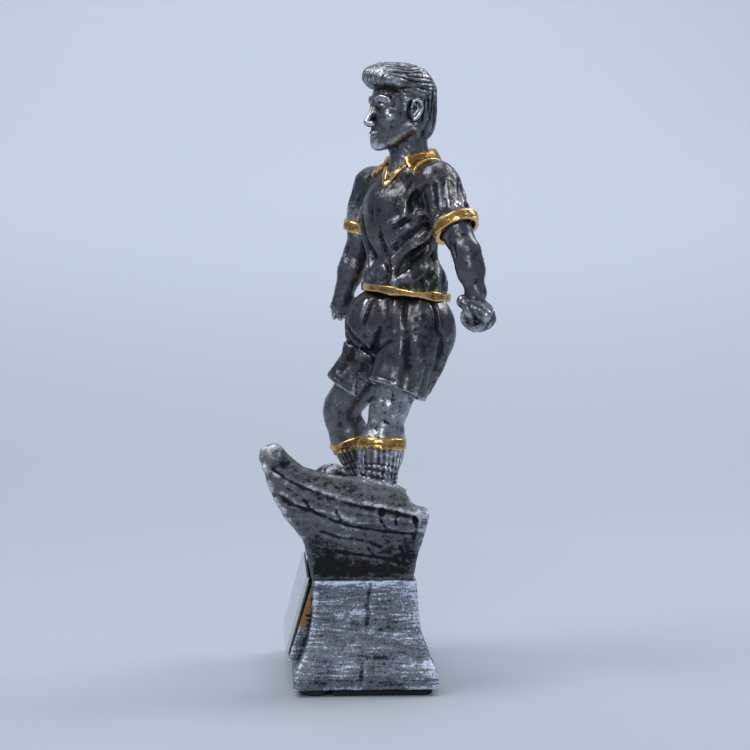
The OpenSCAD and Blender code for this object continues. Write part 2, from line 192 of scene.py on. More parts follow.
def noise(x, y, z, size, seed=SEED):
    """Smooth random values from -1 to 1, with lumps about size across"""
    p = [np.asarray(v, float) / size for v in (x, y, z)]
    whole = [np.floor(v).astype(np.int64) for v in p]
    part = [v - w for v, w in zip(p, whole)]
    fx, fy, fz = [v * v * (3 - 2 * v) for v in part]
    total = 0
    for di in (0, 1):
        for dj in (0, 1):
            for dk in (0, 1):
                weight = ((fx if di else 1 - fx) * (fy if dj else 1 - fy) * (fz if dk else 1 - fz))
                total = total + weight * hashed(whole[0] + di, whole[1] + dj, whole[2] + dk, seed)
    return total


# ---------- the clay ----------

class Clay:
    """A block of clay: a grid of signed distances, negative inside, that shapes are pressed into"""

    def __init__(self, low, high, step):
        self.step = step
        self.low = np.array(low, float)
        count = np.ceil((np.array(high) - self.low) / step).astype(int) + 1
        self.axes = [self.low[i] + step * np.arange(count[i]) for i in range(3)]
        self.field = np.full(tuple(count), FAR, np.float32)

    def spare(self):
        """An empty block on the same grid"""
        other = Clay.__new__(Clay)
        other.step = self.step
        other.low = self.low
        other.axes = self.axes
        other.field = np.full(self.field.shape, FAR, np.float32)
        return other

    def window(self, low, high):
        cut = []
        for axis, a, b in zip(self.axes, low, high):
            first = int(np.searchsorted(axis, a))
            last = int(np.searchsorted(axis, b, side="right"))
            cut.append(slice(first, max(first, last)))
        x = self.axes[0][cut[0]][:, None, None]
        y = self.axes[1][cut[1]][None, :, None]
        z = self.axes[2][cut[2]][None, None, :]
        return tuple(cut), x, y, z

    def everywhere(self):
        return self.window(self.low, [axis[-1] for axis in self.axes])

    def press(self, shape, blend=0.6, carve=False):
        """Adds a shape, or cuts it away. A shape is its lowest corner, highest corner and distance"""
        low, high, distance = shape
        pad = blend + 2 * self.step
        cut, x, y, z = self.window(np.asarray(low) - pad, np.asarray(high) + pad)
        if not self.field[cut].size:
            return
        self.merge(cut, distance(x, y, z).astype(np.float32), blend, carve)

    def merge(self, cut, new, blend, carve):
        """Adds distances to a window of the clay, or cuts them away"""
        old = self.field[cut]
        if carve:
            self.field[cut] = soft_max(old, -new, blend)
        else:
            self.field[cut] = soft_min(old, new, blend)

    def strand(self, points, blend=0.4, carve=False, pieces=4):
        """Presses a curved, tapering strand. Each point is x, y, z and radius"""
        p = spline(points, pieces)
        reach = p[:, 3].max() + blend + 2 * self.step
        cut = self.window(p[:, :3].min(0) - reach, p[:, :3].max(0) + reach)[0]
        new = np.full(self.field[cut].shape, FAR, np.float32)
        if not new.size:
            return
        starts = [c.start for c in cut]
        for a, b in zip(p, p[1:]):
            near = max(a[3], b[3]) + blend + 2 * self.step
            part, px, py, pz = self.window(
                np.minimum(a, b)[:3] - near, np.maximum(a, b)[:3] + near)
            part = tuple(slice(max(s.start - o, 0), max(s.stop - o, 0)) for s, o in zip(part, starts))
            d = capsule_distance(a[:3], b[:3], a[3], b[3])(px, py, pz)
            new[part] = np.minimum(new[part], d)
        self.merge(cut, new, blend, carve)

    def borrow(self, other):
        """Another clay's distances, read on this grid"""
        field = other.field
        for n in range(3):
            place_at = (self.axes[n] - other.low[n]) / other.step
            place_at = np.clip(place_at, 0, field.shape[n] - 1.001)
            whole = place_at.astype(int)
            part = (place_at - whole).reshape([-1 if m == n else 1 for m in range(3)])
            field = field.take(whole, n) * (1 - part) + field.take(whole + 1, n) * part
        return field

    def join(self, other, blend=0.3):
        self.field = soft_min(self.field, other.field, blend)

    def keep(self, distance, blend=0.3):
        """Keeps only the clay where distance is negative"""
        _, x, y, z = self.everywhere()
        self.field = soft_max(self.field, distance(x, y, z).astype(np.float32), blend)

    def trim(self, rim, way, reach, blend):
        """Cuts the end off square at a rim, leaving alone what lies further than reach from it"""
        plane = half_space(rim, way)

        def past_rim(x, y, z):
            close = (x - rim[0]) ** 2 + (y - rim[1]) ** 2 + (z - rim[2]) ** 2 < reach**2
            return np.where(close, plane(x, y, z), -FAR)

        self.keep(past_rim, blend)

    def shift(self, amount):
        """Moves the skin inwards by an amount that depends on the place"""
        near = np.abs(self.field) < SKIN
        i, j, k = np.nonzero(near)
        x, y, z = self.axes[0][i], self.axes[1][j], self.axes[2][k]
        self.field[near] += amount(x, y, z).astype(np.float32)

    def roughen(self, amount, size, seed=SEED):
        """Moves the skin in and out by noise"""
        self.shift(lambda x, y, z: amount * noise(x, y, z, size, seed))

    def skin(self, origins, directions, reach=40.0):
        """Where rays from inside the clay come out of it, as points"""
        origins = np.atleast_2d(np.array(origins, float))
        directions = np.atleast_2d(np.array(directions, float))
        directions = directions / np.linalg.norm(directions, axis=1)[:, None]
        steps = np.arange(0, reach, self.step / 2)
        p = origins[:, None, :] + directions[:, None, :] * steps[None, :, None]
        index = np.rint((p - self.low) / self.step).astype(int)
        limit = np.array(self.field.shape) - 1
        inside_grid = np.all((index >= 0) & (index <= limit), axis=2)
        index = np.clip(index, 0, limit)
        solid = (self.field[index[..., 0], index[..., 1], index[..., 2]] < 0) & inside_grid
        last = solid.shape[1] - 1 - np.argmax(solid[:, ::-1], axis=1)
        first_out = np.argmin(solid, axis=1)
        hit = np.where(solid[:, 0], first_out, last)
        return origins + directions * steps[hit][:, None]

    def mesh(self, name):
        """Turns the skin into a mesh of quads, with attributes that tell ridges from hollows"""
        f = self.field
        inside = f < 0
        corner_of = [(i, j, k) for i in (0, 1) for j in (0, 1) for k in (0, 1)]
        nx, ny, nz = f.shape
        full = np.zeros((nx - 1, ny - 1, nz - 1), np.int8)
        for i, j, k in corner_of:
            full += inside[i:nx - 1 + i, j:ny - 1 + j, k:nz - 1 + k]
        active = (full > 0) & (full < 8)
        ci, cj, ck = np.nonzero(active)
        number = np.full(active.shape, -1, np.int64)
        number[ci, cj, ck] = np.arange(len(ci))
        value = {c: f[ci + c[0], cj + c[1], ck + c[2]].astype(float) for c in corner_of}
        total = np.zeros((len(ci), 3))
        crossings = np.zeros(len(ci))
        for a in corner_of:
            for axis in range(3):
                if a[axis]:
                    continue
                b = tuple(1 if n == axis else a[n] for n in range(3))
                crosses = (value[a] < 0) != (value[b] < 0)
                gap = value[a] - value[b]
                t = np.where(crosses, value[a] / np.where(crosses, gap, 1), 0)
                for n in range(3):
                    offset = t if n == axis else a[n]
                    total[:, n] += np.where(crosses, offset, 0)
                crossings += crosses
        local = total / crossings[:, None]
        verts = (self.low + (np.stack([ci, cj, ck], 1) + local) * self.step) * MM
        mesh = quad_mesh(name, verts, self.quads(number))
        for attribute, radius in (("relief", 0.55), ("hollow", 1.9)):
            cells = max(1, int(round(radius / self.step)))
            sharp = np.clip(f / (1.2 * radius), -2, 2)
            soft = box_blur(sharp, cells) - sharp
            mark(mesh, attribute, sum(soft[ci + i, cj + j, ck + k] / 8 for i, j, k in corner_of))
        return mesh

    def quads(self, number):
        """A quad across each grid edge that crosses the skin; number gives each cell's vertex"""
        inside = self.field < 0
        quads = []
        for axis in range(3):
            u_axis, v_axis = (axis + 1) % 3, (axis + 2) % 3
            low_side = [slice(1, -1)] * 3
            low_side[axis] = slice(0, -1)
            high_side = list(low_side)
            high_side[axis] = slice(1, None)
            a_in = inside[tuple(low_side)]
            b_in = inside[tuple(high_side)]
            at = np.stack(np.nonzero(a_in != b_in), 1)
            if not len(at):
                continue
            outward = a_in[at[:, 0], at[:, 1], at[:, 2]]
            base = at.copy()
            base[:, u_axis] += 1
            base[:, v_axis] += 1
            ring = []
            for du, dv in ((1, 1), (0, 1), (0, 0), (1, 0)):
                cell = base.copy()
                cell[:, u_axis] -= du
                cell[:, v_axis] -= dv
                ring.append(number[cell[:, 0], cell[:, 1], cell[:, 2]])
            ring = np.stack(ring, 1)
            order = np.where(outward[:, None], [[0, 1, 2, 3]], [[3, 2, 1, 0]])
            quads.append(np.take_along_axis(ring, order, 1))
        return np.vstack(quads)


def quad_mesh(name, verts, quads):
    """A smooth mesh from arrays of vertices and of quads"""
    mesh = bpy.data.meshes.new(name)
    mesh.vertices.add(len(verts))
    mesh.vertices.foreach_set("co", verts.astype(np.float32).ravel())
    mesh.loops.add(quads.size)
    mesh.loops.foreach_set("vertex_index", quads.astype(np.int32).ravel())
    mesh.polygons.add(len(quads))
    mesh.polygons.foreach_set("loop_start", np.arange(0, quads.size, 4, dtype=np.int32))
    mesh.update(calc_edges=True)
    mesh.validate()
    mesh.shade_smooth()
    return mesh


def mark(mesh, name, values):
    """Gives each vertex a value that the materials read"""
    mesh.attributes.new(name, "FLOAT", "POINT").data.foreach_set("value", values.astype(np.float32))


def box_blur(field, cells):
    """Running mean along each axis in turn"""
    for axis in range(3):
        padded = np.concatenate([np.repeat(field.take([0], axis), cells + 1, axis), field,
                                 np.repeat(field.take([-1], axis), cells, axis)], axis)
        total = np.cumsum(padded, axis=axis, dtype=np.float64)
        width = 2 * cells + 1
        n = field.shape[axis]
        upper = total.take(range(width, width + n), axis)
        lower = total.take(range(0, n), axis)
        field = ((upper - lower) / width).astype(np.float32)
    return field


# ---------- shapes: lowest corner, highest corner, distance ----------

def egg(center, radii, turn=None):
    c = np.asarray(center, float)
    r = np.asarray(radii, float) * np.ones(3)
    m = np.eye(3) if turn is None else turn
    reach = np.sqrt(((m * r) ** 2).sum(1))

    def distance(x, y, z):
        p = [along(x, y, z, c, m[:, i]) for i in range(3)]
        k0 = np.sqrt(sum((p[i] / r[i]) ** 2 for i in range(3)))
        k1 = np.sqrt(sum((p[i] / r[i] ** 2) ** 2 for i in range(3))) + 1e-6
        return k0 * (k0 - 1) / k1

    return c - reach, c + reach, distance


def capsule_distance(a, b, ra, rb):
    a = np.asarray(a, float)
    way = np.asarray(b, float) - a
    length2 = max(float(way @ way), 1e-9)

    def distance(x, y, z):
        t = np.clip(along(x, y, z, a, way) / length2, 0, 1)
        gap = sum((v - a[n] - t * way[n]) ** 2 for n, v in enumerate((x, y, z)))
        return np.sqrt(gap) - (ra + (rb - ra) * t)

    return distance


def limb(a, b, ra, rb):
    a, b = np.asarray(a, float), np.asarray(b, float)
    r = max(ra, rb)
    return np.minimum(a, b) - r, np.maximum(a, b) + r, capsule_distance(a, b, ra, rb)


def block(center, half, turn, rounding):
    c = np.asarray(center, float)
    h = np.asarray(half, float)
    reach = (np.abs(turn) * h).sum(1)

    def distance(x, y, z):
        q = [np.abs(along(x, y, z, c, turn[:, i])) - h[i] + rounding for i in range(3)]
        outside = np.sqrt(sum(np.maximum(v, 0) ** 2 for v in q))
        inside = np.minimum(np.maximum(np.maximum(q[0], q[1]), q[2]), 0)
        return outside + inside - rounding

    return c - reach, c + reach, distance


def tube(a, b, radius, wall, squash=1.0, rounding=0.3):
    """A round or slightly oval band from a to b; wall is half its thickness"""
    a, b = np.asarray(a, float), np.asarray(b, float)
    axis = unit(b - a)
    half = np.linalg.norm(b - a) / 2
    middle = (a + b) / 2
    across = unit(np.cross(axis, (0.3, 0.2, 0.9)))
    other = np.cross(axis, across)
    reach = radius * max(squash, 1) + wall + half

    def distance(x, y, z):
        p = along(x, y, z, middle, across)
        q = along(x, y, z, middle, other) / squash
        u = np.abs(np.sqrt(p * p + q * q) - radius) - wall + rounding
        v = np.abs(along(x, y, z, middle, axis)) - half + rounding
        outside = np.sqrt(np.maximum(u, 0) ** 2 + np.maximum(v, 0) ** 2)
        return outside + np.minimum(np.maximum(u, v), 0) - rounding

    return middle - reach, middle + reach, distance


def half_space(point, normal):
    """Distance that is negative behind the plane"""
    axis = unit(normal)
    return lambda x, y, z: along(x, y, z, point, axis)


def clay_for(node, step, margin=2.5):
    """A block of clay round a CAD node"""
    low, high = cad_box(node)
    return Clay(low - margin, high + margin, step)


# ---------- materials ----------

class Nodes:
    """Short names for building a shader's node tree"""

    def __init__(self, name):
        self.material = bpy.data.materials.new(name)
        self.material.use_nodes = True
        self.tree = self.material.node_tree
        self.tree.nodes.clear()
        self.out = self.add("ShaderNodeOutputMaterial")
        self.shader = self.add("ShaderNodeBsdfPrincipled")
        self.link(self.shader.outputs[0], self.out.inputs["Surface"])
        self.coords = self.add("ShaderNodeTexCoord").outputs["Object"]

    def add(self, kind, **settings):
        node = self.tree.nodes.new(kind)
        for key, value in settings.items():
            setattr(node, key, value)
        return node

    def link(self, a, b):
        self.tree.links.new(a, b)

    def feed(self, socket, value):
        if isinstance(value, bpy.types.NodeSocket):
            self.link(value, socket)
        else:
            socket.default_value = value

    def set(self, name, value):
        self.feed(self.shader.inputs[name], value)

    def attribute(self, name):
        return self.add("ShaderNodeAttribute", attribute_name=name).outputs["Fac"]

    def math(self, operation, a, b=0.0, clamp=False):
        node = self.add("ShaderNodeMath", operation=operation, use_clamp=clamp)
        self.feed(node.inputs[0], a)
        self.feed(node.inputs[1], b)
        return node.outputs[0]

    def noise(self, scale, detail=4.0, rough=0.6, stretch=(1, 1, 1), offset=0.0):
        mapping = self.add("ShaderNodeMapping")
        mapping.inputs["Scale"].default_value = stretch
        mapping.inputs["Location"].default_value = (offset, offset * 0.7, offset * 1.3)
        self.link(self.coords, mapping.inputs["Vector"])
        node = self.add("ShaderNodeTexNoise")
        self.link(mapping.outputs[0], node.inputs["Vector"])
        node.inputs["Scale"].default_value = scale
        node.inputs["Detail"].default_value = detail
        node.inputs["Roughness"].default_value = rough
        return node.outputs["Fac"]

    def ramp(self, value, low, high, out_low=0.0, out_high=1.0):
        node = self.add("ShaderNodeMapRange", clamp=True, interpolation_type="SMOOTHSTEP")
        self.feed(node.inputs["Value"], value)
        for socket, number in (("From Min", low), ("From Max", high),
                               ("To Min", out_low), ("To Max", out_high)):
            node.inputs[socket].default_value = number
        return node.outputs[0]

    def mix(self, fac, a, b):
        node = self.add("ShaderNodeMix", data_type="RGBA")
        self.feed(node.inputs["Factor"], fac)
        colours = [s for s in node.inputs if s.type == "RGBA"]
        for socket, value in zip(colours, (a, b)):
            self.feed(socket, value if isinstance(value, bpy.types.NodeSocket) else (*value, 1.0))
        return [s for s in node.outputs if s.type == "RGBA"][0]

    def height(self):
        """How high the point is above the ground"""
        split = self.add("ShaderNodeSeparateXYZ")
        self.link(self.coords, split.inputs[0])
        return split.outputs["Z"]

    def bump(self, height, strength, distance):
        node = self.add("ShaderNodeBump")
        node.inputs["Strength"].default_value = strength
        node.inputs["Distance"].default_value = distance
        self.link(height, node.inputs["Height"])
        self.link(node.outputs[0], self.shader.inputs["Normal"])


def worn_cover(n, ridge, dip, parts):
    """How much paint shows: more on ridges, less in hollows, broken up by noise"""
    cover = n.math("ADD", n.math("MULTIPLY", n.attribute("relief"), ridge),
                   n.math("MULTIPLY", n.attribute("hollow"), dip))
    for texture, amount in parts:
        cover = n.math("ADD", cover, n.math("MULTIPLY", n.math("SUBTRACT", texture, 0.5), amount))
    return cover


def paint_material(name, dark, base, bright, polish, speckle=1.0, level=0.0):
    """Metallic paint over black resin: dark in the hollows, rubbed bright on the ridges"""
    n = Nodes(name)
    fine = n.noise(1900, 4, 0.7)
    coarse = n.noise(420, 4, 0.62, offset=0.03)
    broad = n.noise(75, 3, 0.5, offset=0.11)
    cover = worn_cover(n, 3.4, 1.7, ((coarse, 2.4 * speckle), (fine, 1.8 * speckle), (broad, 1.2)))
    paint = n.ramp(cover, -0.6 + level, 0.0 + level)
    rub = n.ramp(cover, 0.4 + level, 1.25 + level)
    n.set("Base Color", n.mix(rub, n.mix(paint, dark, base), bright))
    n.set("Metallic", n.ramp(paint, 0.0, 1.0, 0.1, 0.9))
    n.set("Specular IOR Level", n.ramp(paint, 0.0, 1.0, 0.2, 0.5))
    n.set("Roughness", n.math("ADD", n.ramp(rub, 0, 1, polish, polish - 0.08),
                              n.math("MULTIPLY", n.math("SUBTRACT", fine, 0.5), 0.2)))
    n.bump(n.math("ADD", n.math("MULTIPLY", fine, 0.5), coarse), 0.4, 0.00012)
    return n.material


def stone_material(name, dark, base, bright, stretch, contrast, level, gilt, painted_shade_top=0.0):
    """The same finish dry-brushed over rock in strokes, gilded where marked, with painted shade that darkens
    it below the given height
    """
    n = Nodes(name)
    strokes = n.noise(1000, 6, 0.75, stretch=stretch)
    long_strokes = n.noise(260, 4, 0.6, stretch=stretch, offset=0.05)
    flecks = n.noise(1700, 4, 0.7, offset=0.09)
    broad = n.noise(70, 3, 0.5, offset=0.02)
    cover = worn_cover(n, 3.0, 1.5, ((strokes, 3.6 * contrast), (long_strokes, 1.9 * contrast),
                                     (flecks, 2.9 * contrast), (broad, 2.0 * contrast)))
    if painted_shade_top:
        # painted shade: the lower wall darkens towards its foot, standing in for the shade under the overhang
        cover = n.math("ADD", cover, n.ramp(n.height(), painted_shade_top - 0.013, painted_shade_top, -0.8, 0.0))
    paint = n.ramp(cover, -0.6 + level, 0.15 + level)
    rub = n.ramp(cover, 0.4 + level, 1.0 + level)
    colour = n.mix(rub, n.mix(paint, dark, base), bright)
    colour = n.mix(n.math("MULTIPLY", n.attribute("gilt"), paint), colour, gilt)
    n.set("Base Color", colour)
    n.set("Metallic", n.ramp(paint, 0.0, 1.0, 0.1, 0.75))
    n.set("Specular IOR Level", n.ramp(paint, 0.0, 1.0, 0.15, 0.5))
    n.set("Roughness", n.ramp(flecks, 0.3, 0.7, 0.4, 0.6))
    n.bump(n.math("ADD", strokes, flecks), 0.5, 0.00015)
    return n.material


def sheet_metal_material(name, colour, rough):
    """Brushed sheet: fine lines along X with small changes of shade"""
    n = Nodes(name)
    lines = n.noise(900, 5, 0.7, stretch=(0.03, 1, 1))
    stain = n.noise(60, 3, 0.5, offset=0.2)
    tint = n.mix(n.ramp(stain, 0.3, 0.7, 0.0, 0.25), colour, tuple(c * 0.8 for c in colour))
    n.set("Base Color", tint)
    n.set("Metallic", 0.9)
    n.set("Roughness", n.ramp(lines, 0.3, 0.7, rough - 0.08, rough + 0.1))
    n.bump(lines, 0.15, 0.00004)
    return n.material


def soft_material(name, colour, rough, scale):
    """Felt, rubber or adhesive: mottled, with a grain of its own"""
    n = Nodes(name)
    grain = n.noise(scale, 6, 0.75)
    patch = n.noise(scale / 9, 3, 0.5, offset=0.4)
    lighter = tuple(min(1.0, c * 1.9 + 0.01) for c in colour)
    n.set("Base Color", n.mix(n.math("MULTIPLY", grain, patch), colour, lighter))
    n.set("Roughness", n.ramp(grain, 0.3, 0.7, rough - 0.06, min(1.0, rough + 0.06)))
    n.bump(grain, 0.5, 0.0001)
    return n.material


RESIN = "antique_silver_resin"
# how each part's silver paint is rubbed back, with the near leg's look also carrying painted highlight: base
# shade, gleam of the ridges, speckle and black left
SILVER_LOOKS = {
    RESIN: (1.0, 1.0, 1.0, 0.0),
    "cloth_silver": (0.68, 0.8, 1.1, 0.14),
    "arm_silver": (0.8, 0.8, 1.1, 0.08),
    # painted highlight: the near leg is a brighter, lit copy of the same silver
    "leg_silver": (1.9, 1.7, 1.6, -0.05),
}


def tinted(colour, shade, tint=(1, 1, 1)):
    return tuple(shade * c * t for c, t in zip(colour, tint))


def material(slot):
    """The finish for a material slot, made once"""
    name = slot + "_finish"
    if name in bpy.data.materials:
        return bpy.data.materials[name]
    look = bpy.context.scene.trophy_look
    silver = tuple(look.silver)
    gold = tuple(look.gold)
    black = (0.012, 0.012, 0.014)
    bright = tuple(min(1, 3.6 * c) for c in silver)
    if slot in SILVER_LOOKS:
        shade, gleam, speckle, level = SILVER_LOOKS[slot]
        made = paint_material(slot, black, tinted(silver, shade), tinted(bright, gleam),
                              look.polish, speckle, level)
    elif slot == "plinth_silver":
        blue = (0.94, 1.0, 1.09)
        made = stone_material(slot, (0.012, 0.014, 0.02), tinted(silver, 1.15, blue),
                              tinted(bright, 1.3, blue), (0.4, 0.16, 1.5), 1.0, -0.05, gold)
    elif slot == "ledge_silver":
        # the ledge's lower wall gets painted shade up to 14 mm above its foot
        made = stone_material(slot, black, tinted(silver, 0.95), bright,
                              (0.6, 0.45, 0.9), 0.6, 0.06, gold, (DECK_LOW[2] + 14) * MM)
    elif slot == "gold_paint":
        made = paint_material(slot, (0.05, 0.022, 0.006), gold, (0.85, 0.56, 0.18),
                              look.polish - 0.06, 0.8, -0.1)
    elif slot == "bright_plate":
        made = sheet_metal_material(slot, (0.78, 0.8, 0.83), 0.3)
    elif slot == "adhesive":
        made = soft_material(slot, (0.42, 0.36, 0.26), 0.7, 700)
    elif slot == "felt":
        made = soft_material(slot, (0.012, 0.012, 0.014), 0.93, 1800)
    elif slot == "bumper_rubber":
        made = soft_material(slot, (0.014, 0.014, 0.015), 0.6, 900)
    elif slot == "steel":
        made = sheet_metal_material(slot, (0.55, 0.56, 0.58), 0.34)
    else:
        made = sheet_metal_material(slot, (0.72, 0.55, 0.26), 0.36)
    made.name = name
    return made


def place(mesh, name, nodes, slot, look=None):
    """Links a finished piece, gives it its finish, hangs it on the frame's root and hides the CAD nodes it
    stands for.

    The look is the finish where it differs from the slot's own.
    """
    piece = bpy.data.objects.new(name, mesh)
    bpy.context.scene.collection.objects.link(piece)
    mesh.materials.clear()
    mesh.materials.append(material(look or slot))
    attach(piece, "root")
    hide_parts(*nodes)
    return piece


def add_extra(mesh, name):
    """Links a piece that is for looks only; its geometry nodes have given it its finish"""
    piece = bpy.data.objects.new(name, mesh)
    bpy.context.scene.collection.objects.link(piece)
    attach(piece, "root")


# ---------- head ----------

SIDES = (-1, 1)


def head_mesh():
    """Head in its own frame, in hundredths of the player's height: face towards -Y, left is +X"""
    clay = Clay((-9, -10.5, -19), (9, 10.5, 10), 0.15)
    neck_low = turned(-HEAD_TURN, (NECK - SKULL) / U)
    skull_and_neck(clay, neck_low)
    eyes(clay)
    nose(clay)
    mouth(clay)
    ears(clay)
    clay.join(head_hair(clay), 0.25)
    clay.keep(half_space(neck_low + [0, 0, -4.4], (0, 0, -1)))
    clay.roughen(0.035, 0.7)
    clay.roughen(0.03, 0.35, seed=3)
    mesh = clay.mesh("head")
    turn = Matrix.Rotation(HEAD_TURN, 4, "Z")
    mesh.transform(Matrix.Translation(Vector(SKULL * MM)) @ turn @ Matrix.Scale(U, 4))
    return mesh


def skull_and_neck(clay, neck_low):
    """Cranium, face, cheeks, jaw and the cords of the neck"""
    clay.press(egg((0, 0.8, 1.4), (6.2, 7.0, 6.4)), 0.5)
    clay.press(egg((0, -1.9, -2.6), (5.3, 5.0, 6.2)), 1.5)
    clay.press(egg((0, -3.2, -6.6), (3.9, 3.3, 4.0)), 1.5)
    for s in SIDES:
        clay.press(limb((s * 4.5, 0.4, -6.0), (s * 1.7, -5.0, -9.7), 1.35, 1.25), 1.6)
        clay.press(egg((s * 3.5, -4.6, -3.9), (1.7, 1.3, 1.3)), 1.3)
    clay.press(egg((0, -5.7, -9.6), (1.7, 1.3, 1.4)), 1.3)
    clay.press(limb((0, 2.0, -6), neck_low + [0, 0, -4], 3.7, 4.1), 1.8)
    for s in SIDES:
        clay.press(limb((s * 4.6, 2.4, -5.4), neck_low + [s * 0.9, -2.9, -1.6], 0.8, 0.7), 1.2)
    clay.press(limb((0, -1.2, -10.0), neck_low + [0, -2.6, -1], 0.9, 1.0), 1.5)
    throat = turned(-HEAD_TURN, (NECK + turned(CHEST_TURN) * 5.4 + [0, 0, -7.2] - SKULL) / U)
    clay.press(limb((0, 1.2, -11), throat, 3.3, 2.1), 1.4)


def eyes(clay):
    """Brow, sockets, eyes, upper and lower lids, pupils and eyebrows"""
    for s in SIDES:
        clay.strand([(s * 0.8, -6.2, -0.6, 0.4), (s * 2.5, -6.2, -0.1, 0.5),
                     (s * 4.5, -5.0, -0.6, 0.4)], 1.1)
        clay.press(egg((s * 2.5, -7.2, -2.1), (1.8, 1.5, 1.15)), 0.9, carve=True)
        clay.press(egg((s * 2.45, -4.85, -2.15), (1.35, 1.35, 1.25)), 0.2)
        clay.strand([(s * 1.2, -5.85, -2.45, 0.16), (s * 1.95, -6.25, -1.5, 0.24),
                     (s * 3.0, -6.0, -1.4, 0.24), (s * 3.95, -5.05, -2.2, 0.16)], 0.18)
        clay.strand([(s * 1.2, -5.85, -2.5, 0.13), (s * 2.3, -6.05, -3.0, 0.18),
                     (s * 3.3, -5.65, -2.9, 0.18), (s * 3.95, -5.05, -2.35, 0.13)], 0.25)
        clay.press(egg((s * 2.45, -6.3, -2.1), (0.42, 0.32, 0.44)), 0.1, carve=True)
        clay.strand([(s * 1.3, -6.55, 0.2, 0.16), (s * 2.7, -6.4, 0.62, 0.22),
                     (s * 4.4, -5.25, 0.15, 0.12)], 0.5)


def nose(clay):
    """Bridge, tip, wings and nostrils, with a faint fold beside each wing"""
    clay.strand([(0, -6.3, -0.8, 0.6), (0, -7.3, -3.0, 0.6), (0, -8.2, -4.9, 0.72)], 0.9)
    clay.press(egg((0, -8.15, -5.15), (0.85, 0.8, 0.75)), 0.5)
    for s in SIDES:
        clay.press(egg((s * 0.98, -7.3, -5.4), (0.62, 0.8, 0.6)), 0.4)
        clay.press(egg((s * 0.5, -7.75, -6.05), (0.26, 0.4, 0.3)), 0.15, carve=True)
        clay.strand([(s * 1.6, -6.9, -5.1, 0.12), (s * 2.3, -6.3, -6.4, 0.2),
                     (s * 2.7, -5.7, -7.6, 0.1)], 0.5, carve=True)


def mouth(clay):
    """Closed, level lips"""
    clay.press(egg((0, -4.9, -7.5), (2.5, 1.9, 1.9)), 1.2)
    clay.strand([(-2.0, -6.2, -7.62, 0.16), (-0.8, -7.05, -7.33, 0.36), (0, -7.15, -7.42, 0.32),
                 (0.8, -7.05, -7.33, 0.36), (2.0, -6.2, -7.62, 0.16)], 0.3)
    clay.strand([(-1.7, -6.3, -8.0, 0.2), (0, -7.0, -8.32, 0.48), (1.7, -6.3, -8.0, 0.2)], 0.3)
    clay.strand([(-2.1, -6.45, -7.75, 0.08), (0, -7.55, -7.85, 0.12), (2.1, -6.45, -7.75, 0.08)],
                0.12, carve=True)
    clay.press(egg((0, -7.4, -6.75), (0.3, 0.35, 0.5)), 0.4, carve=True)
    clay.press(egg((0, -6.5, -9.3), (1.5, 0.55, 0.7)), 0.8)


def ears(clay):
    """Ear, its hollow, its rim and its inner fold"""
    for s in SIDES:
        clay.press(egg((s * 5.9, 0.7, -2.6), (0.75, 1.35, 2.1), turn_matrix(s * -0.3, -0.15)), 0.4)
        clay.press(egg((s * 6.7, 0.4, -2.5), (0.5, 0.75, 1.2), turn_matrix(s * -0.3, -0.15)),
                   0.3, carve=True)
        clay.strand([(s * 6.2, -0.4, -1.9, 0.25), (s * 6.5, 0.0, -0.6, 0.3),
                     (s * 6.8, 1.2, -0.6, 0.32), (s * 6.9, 1.9, -1.9, 0.3),
                     (s * 6.5, 1.3, -3.6, 0.28), (s * 6.1, 0.3, -4.5, 0.4)], 0.2)
        clay.strand([(s * 6.4, 0.1, -3.6, 0.2), (s * 6.6, 0.9, -2.4, 0.22),
                     (s * 6.6, 0.7, -1.4, 0.18)], 0.2)


def head_hair(clay):
    """Short hair, thick on top and swept back from a brim over the forehead"""
    hair = clay.spare()
    hair.press(egg((0, 0.9, 2.0), (6.75, 7.0, 6.2)), 0.5)
    hair.press(egg((0, 2.9, -2.0), (6.1, 5.0, 7.0)), 1.5)
    hair.press(egg((0, 4.8, -5.0), (4.8, 2.9, 4.0)), 1.2)
    hair.press(egg((0, -7.2, -4.2), (8.6, 6.4, 7.9)), 0.7, carve=True)
    hair.keep(half_space((0, 4, -10.2), (0, -0.35, -1)), 0.8)
    for s in SIDES:
        hair.press(egg((s * 7.2, -0.2, -3.6), (2.2, 2.3, 3.2)), 0.5, carve=True)
        hair.press(limb((s * 5.3, -1.6, 0.8), (s * 5.45, -1.7, -2.4), 0.8, 0.3), 0.9)
    hair.press(egg((0, -2.9, 4.9), (5.9, 5.6, 3.3), turn_matrix(0, -0.12)), 1.2)
    hair.strand([(-5.2, -3.4, 3.6, 1.1), (-3.6, -6.0, 4.3, 1.25), (0, -7.5, 4.8, 1.35),
                 (3.6, -6.2, 4.3, 1.25), (5.3, -3.2, 3.5, 1.0)], 1.4)
    hair.roughen(0.25, 2.2, seed=11)
    rng = np.random.default_rng(SEED)
    top_locks(hair, rng)
    nape_locks(hair, rng)
    brim_locks(hair)
    return hair


def comb(hair, center, rays, reach, depth, blend):
    """Combs a groove into the hair along rays from a centre"""
    points = hair.skin(np.tile(center, (len(rays), 1)), rays, reach)
    hair.strand(np.column_stack([points, depth]), blend, carve=True)


def top_locks(hair, rng):
    """Locks combed from the brim back over the top and sides"""
    for number, lean in enumerate(np.linspace(-1.75, 1.75, 27)):
        start = 0.62 + 0.30 * abs(lean) + rng.uniform(-0.05, 0.05)
        sweep = np.linspace(start, 2.75 - 0.25 * abs(lean), 9)
        wave = 0.07 * np.sin(np.linspace(0, 5, 9) + rng.uniform(0, 6))
        tilt = lean * (1 + 0.10 * np.sin(sweep)) + wave
        rays = np.stack([np.sin(tilt) * np.sin(sweep), -np.cos(sweep),
                         np.cos(tilt) * np.sin(sweep)], 1)
        depth = np.array([0.12, 0.24, 0.3, 0.3, 0.3, 0.3, 0.28, 0.22, 0.12])
        comb(hair, (0, 0.9, 1.4), rays, 14, depth * (1.0 if number % 2 else 0.72), 0.22)


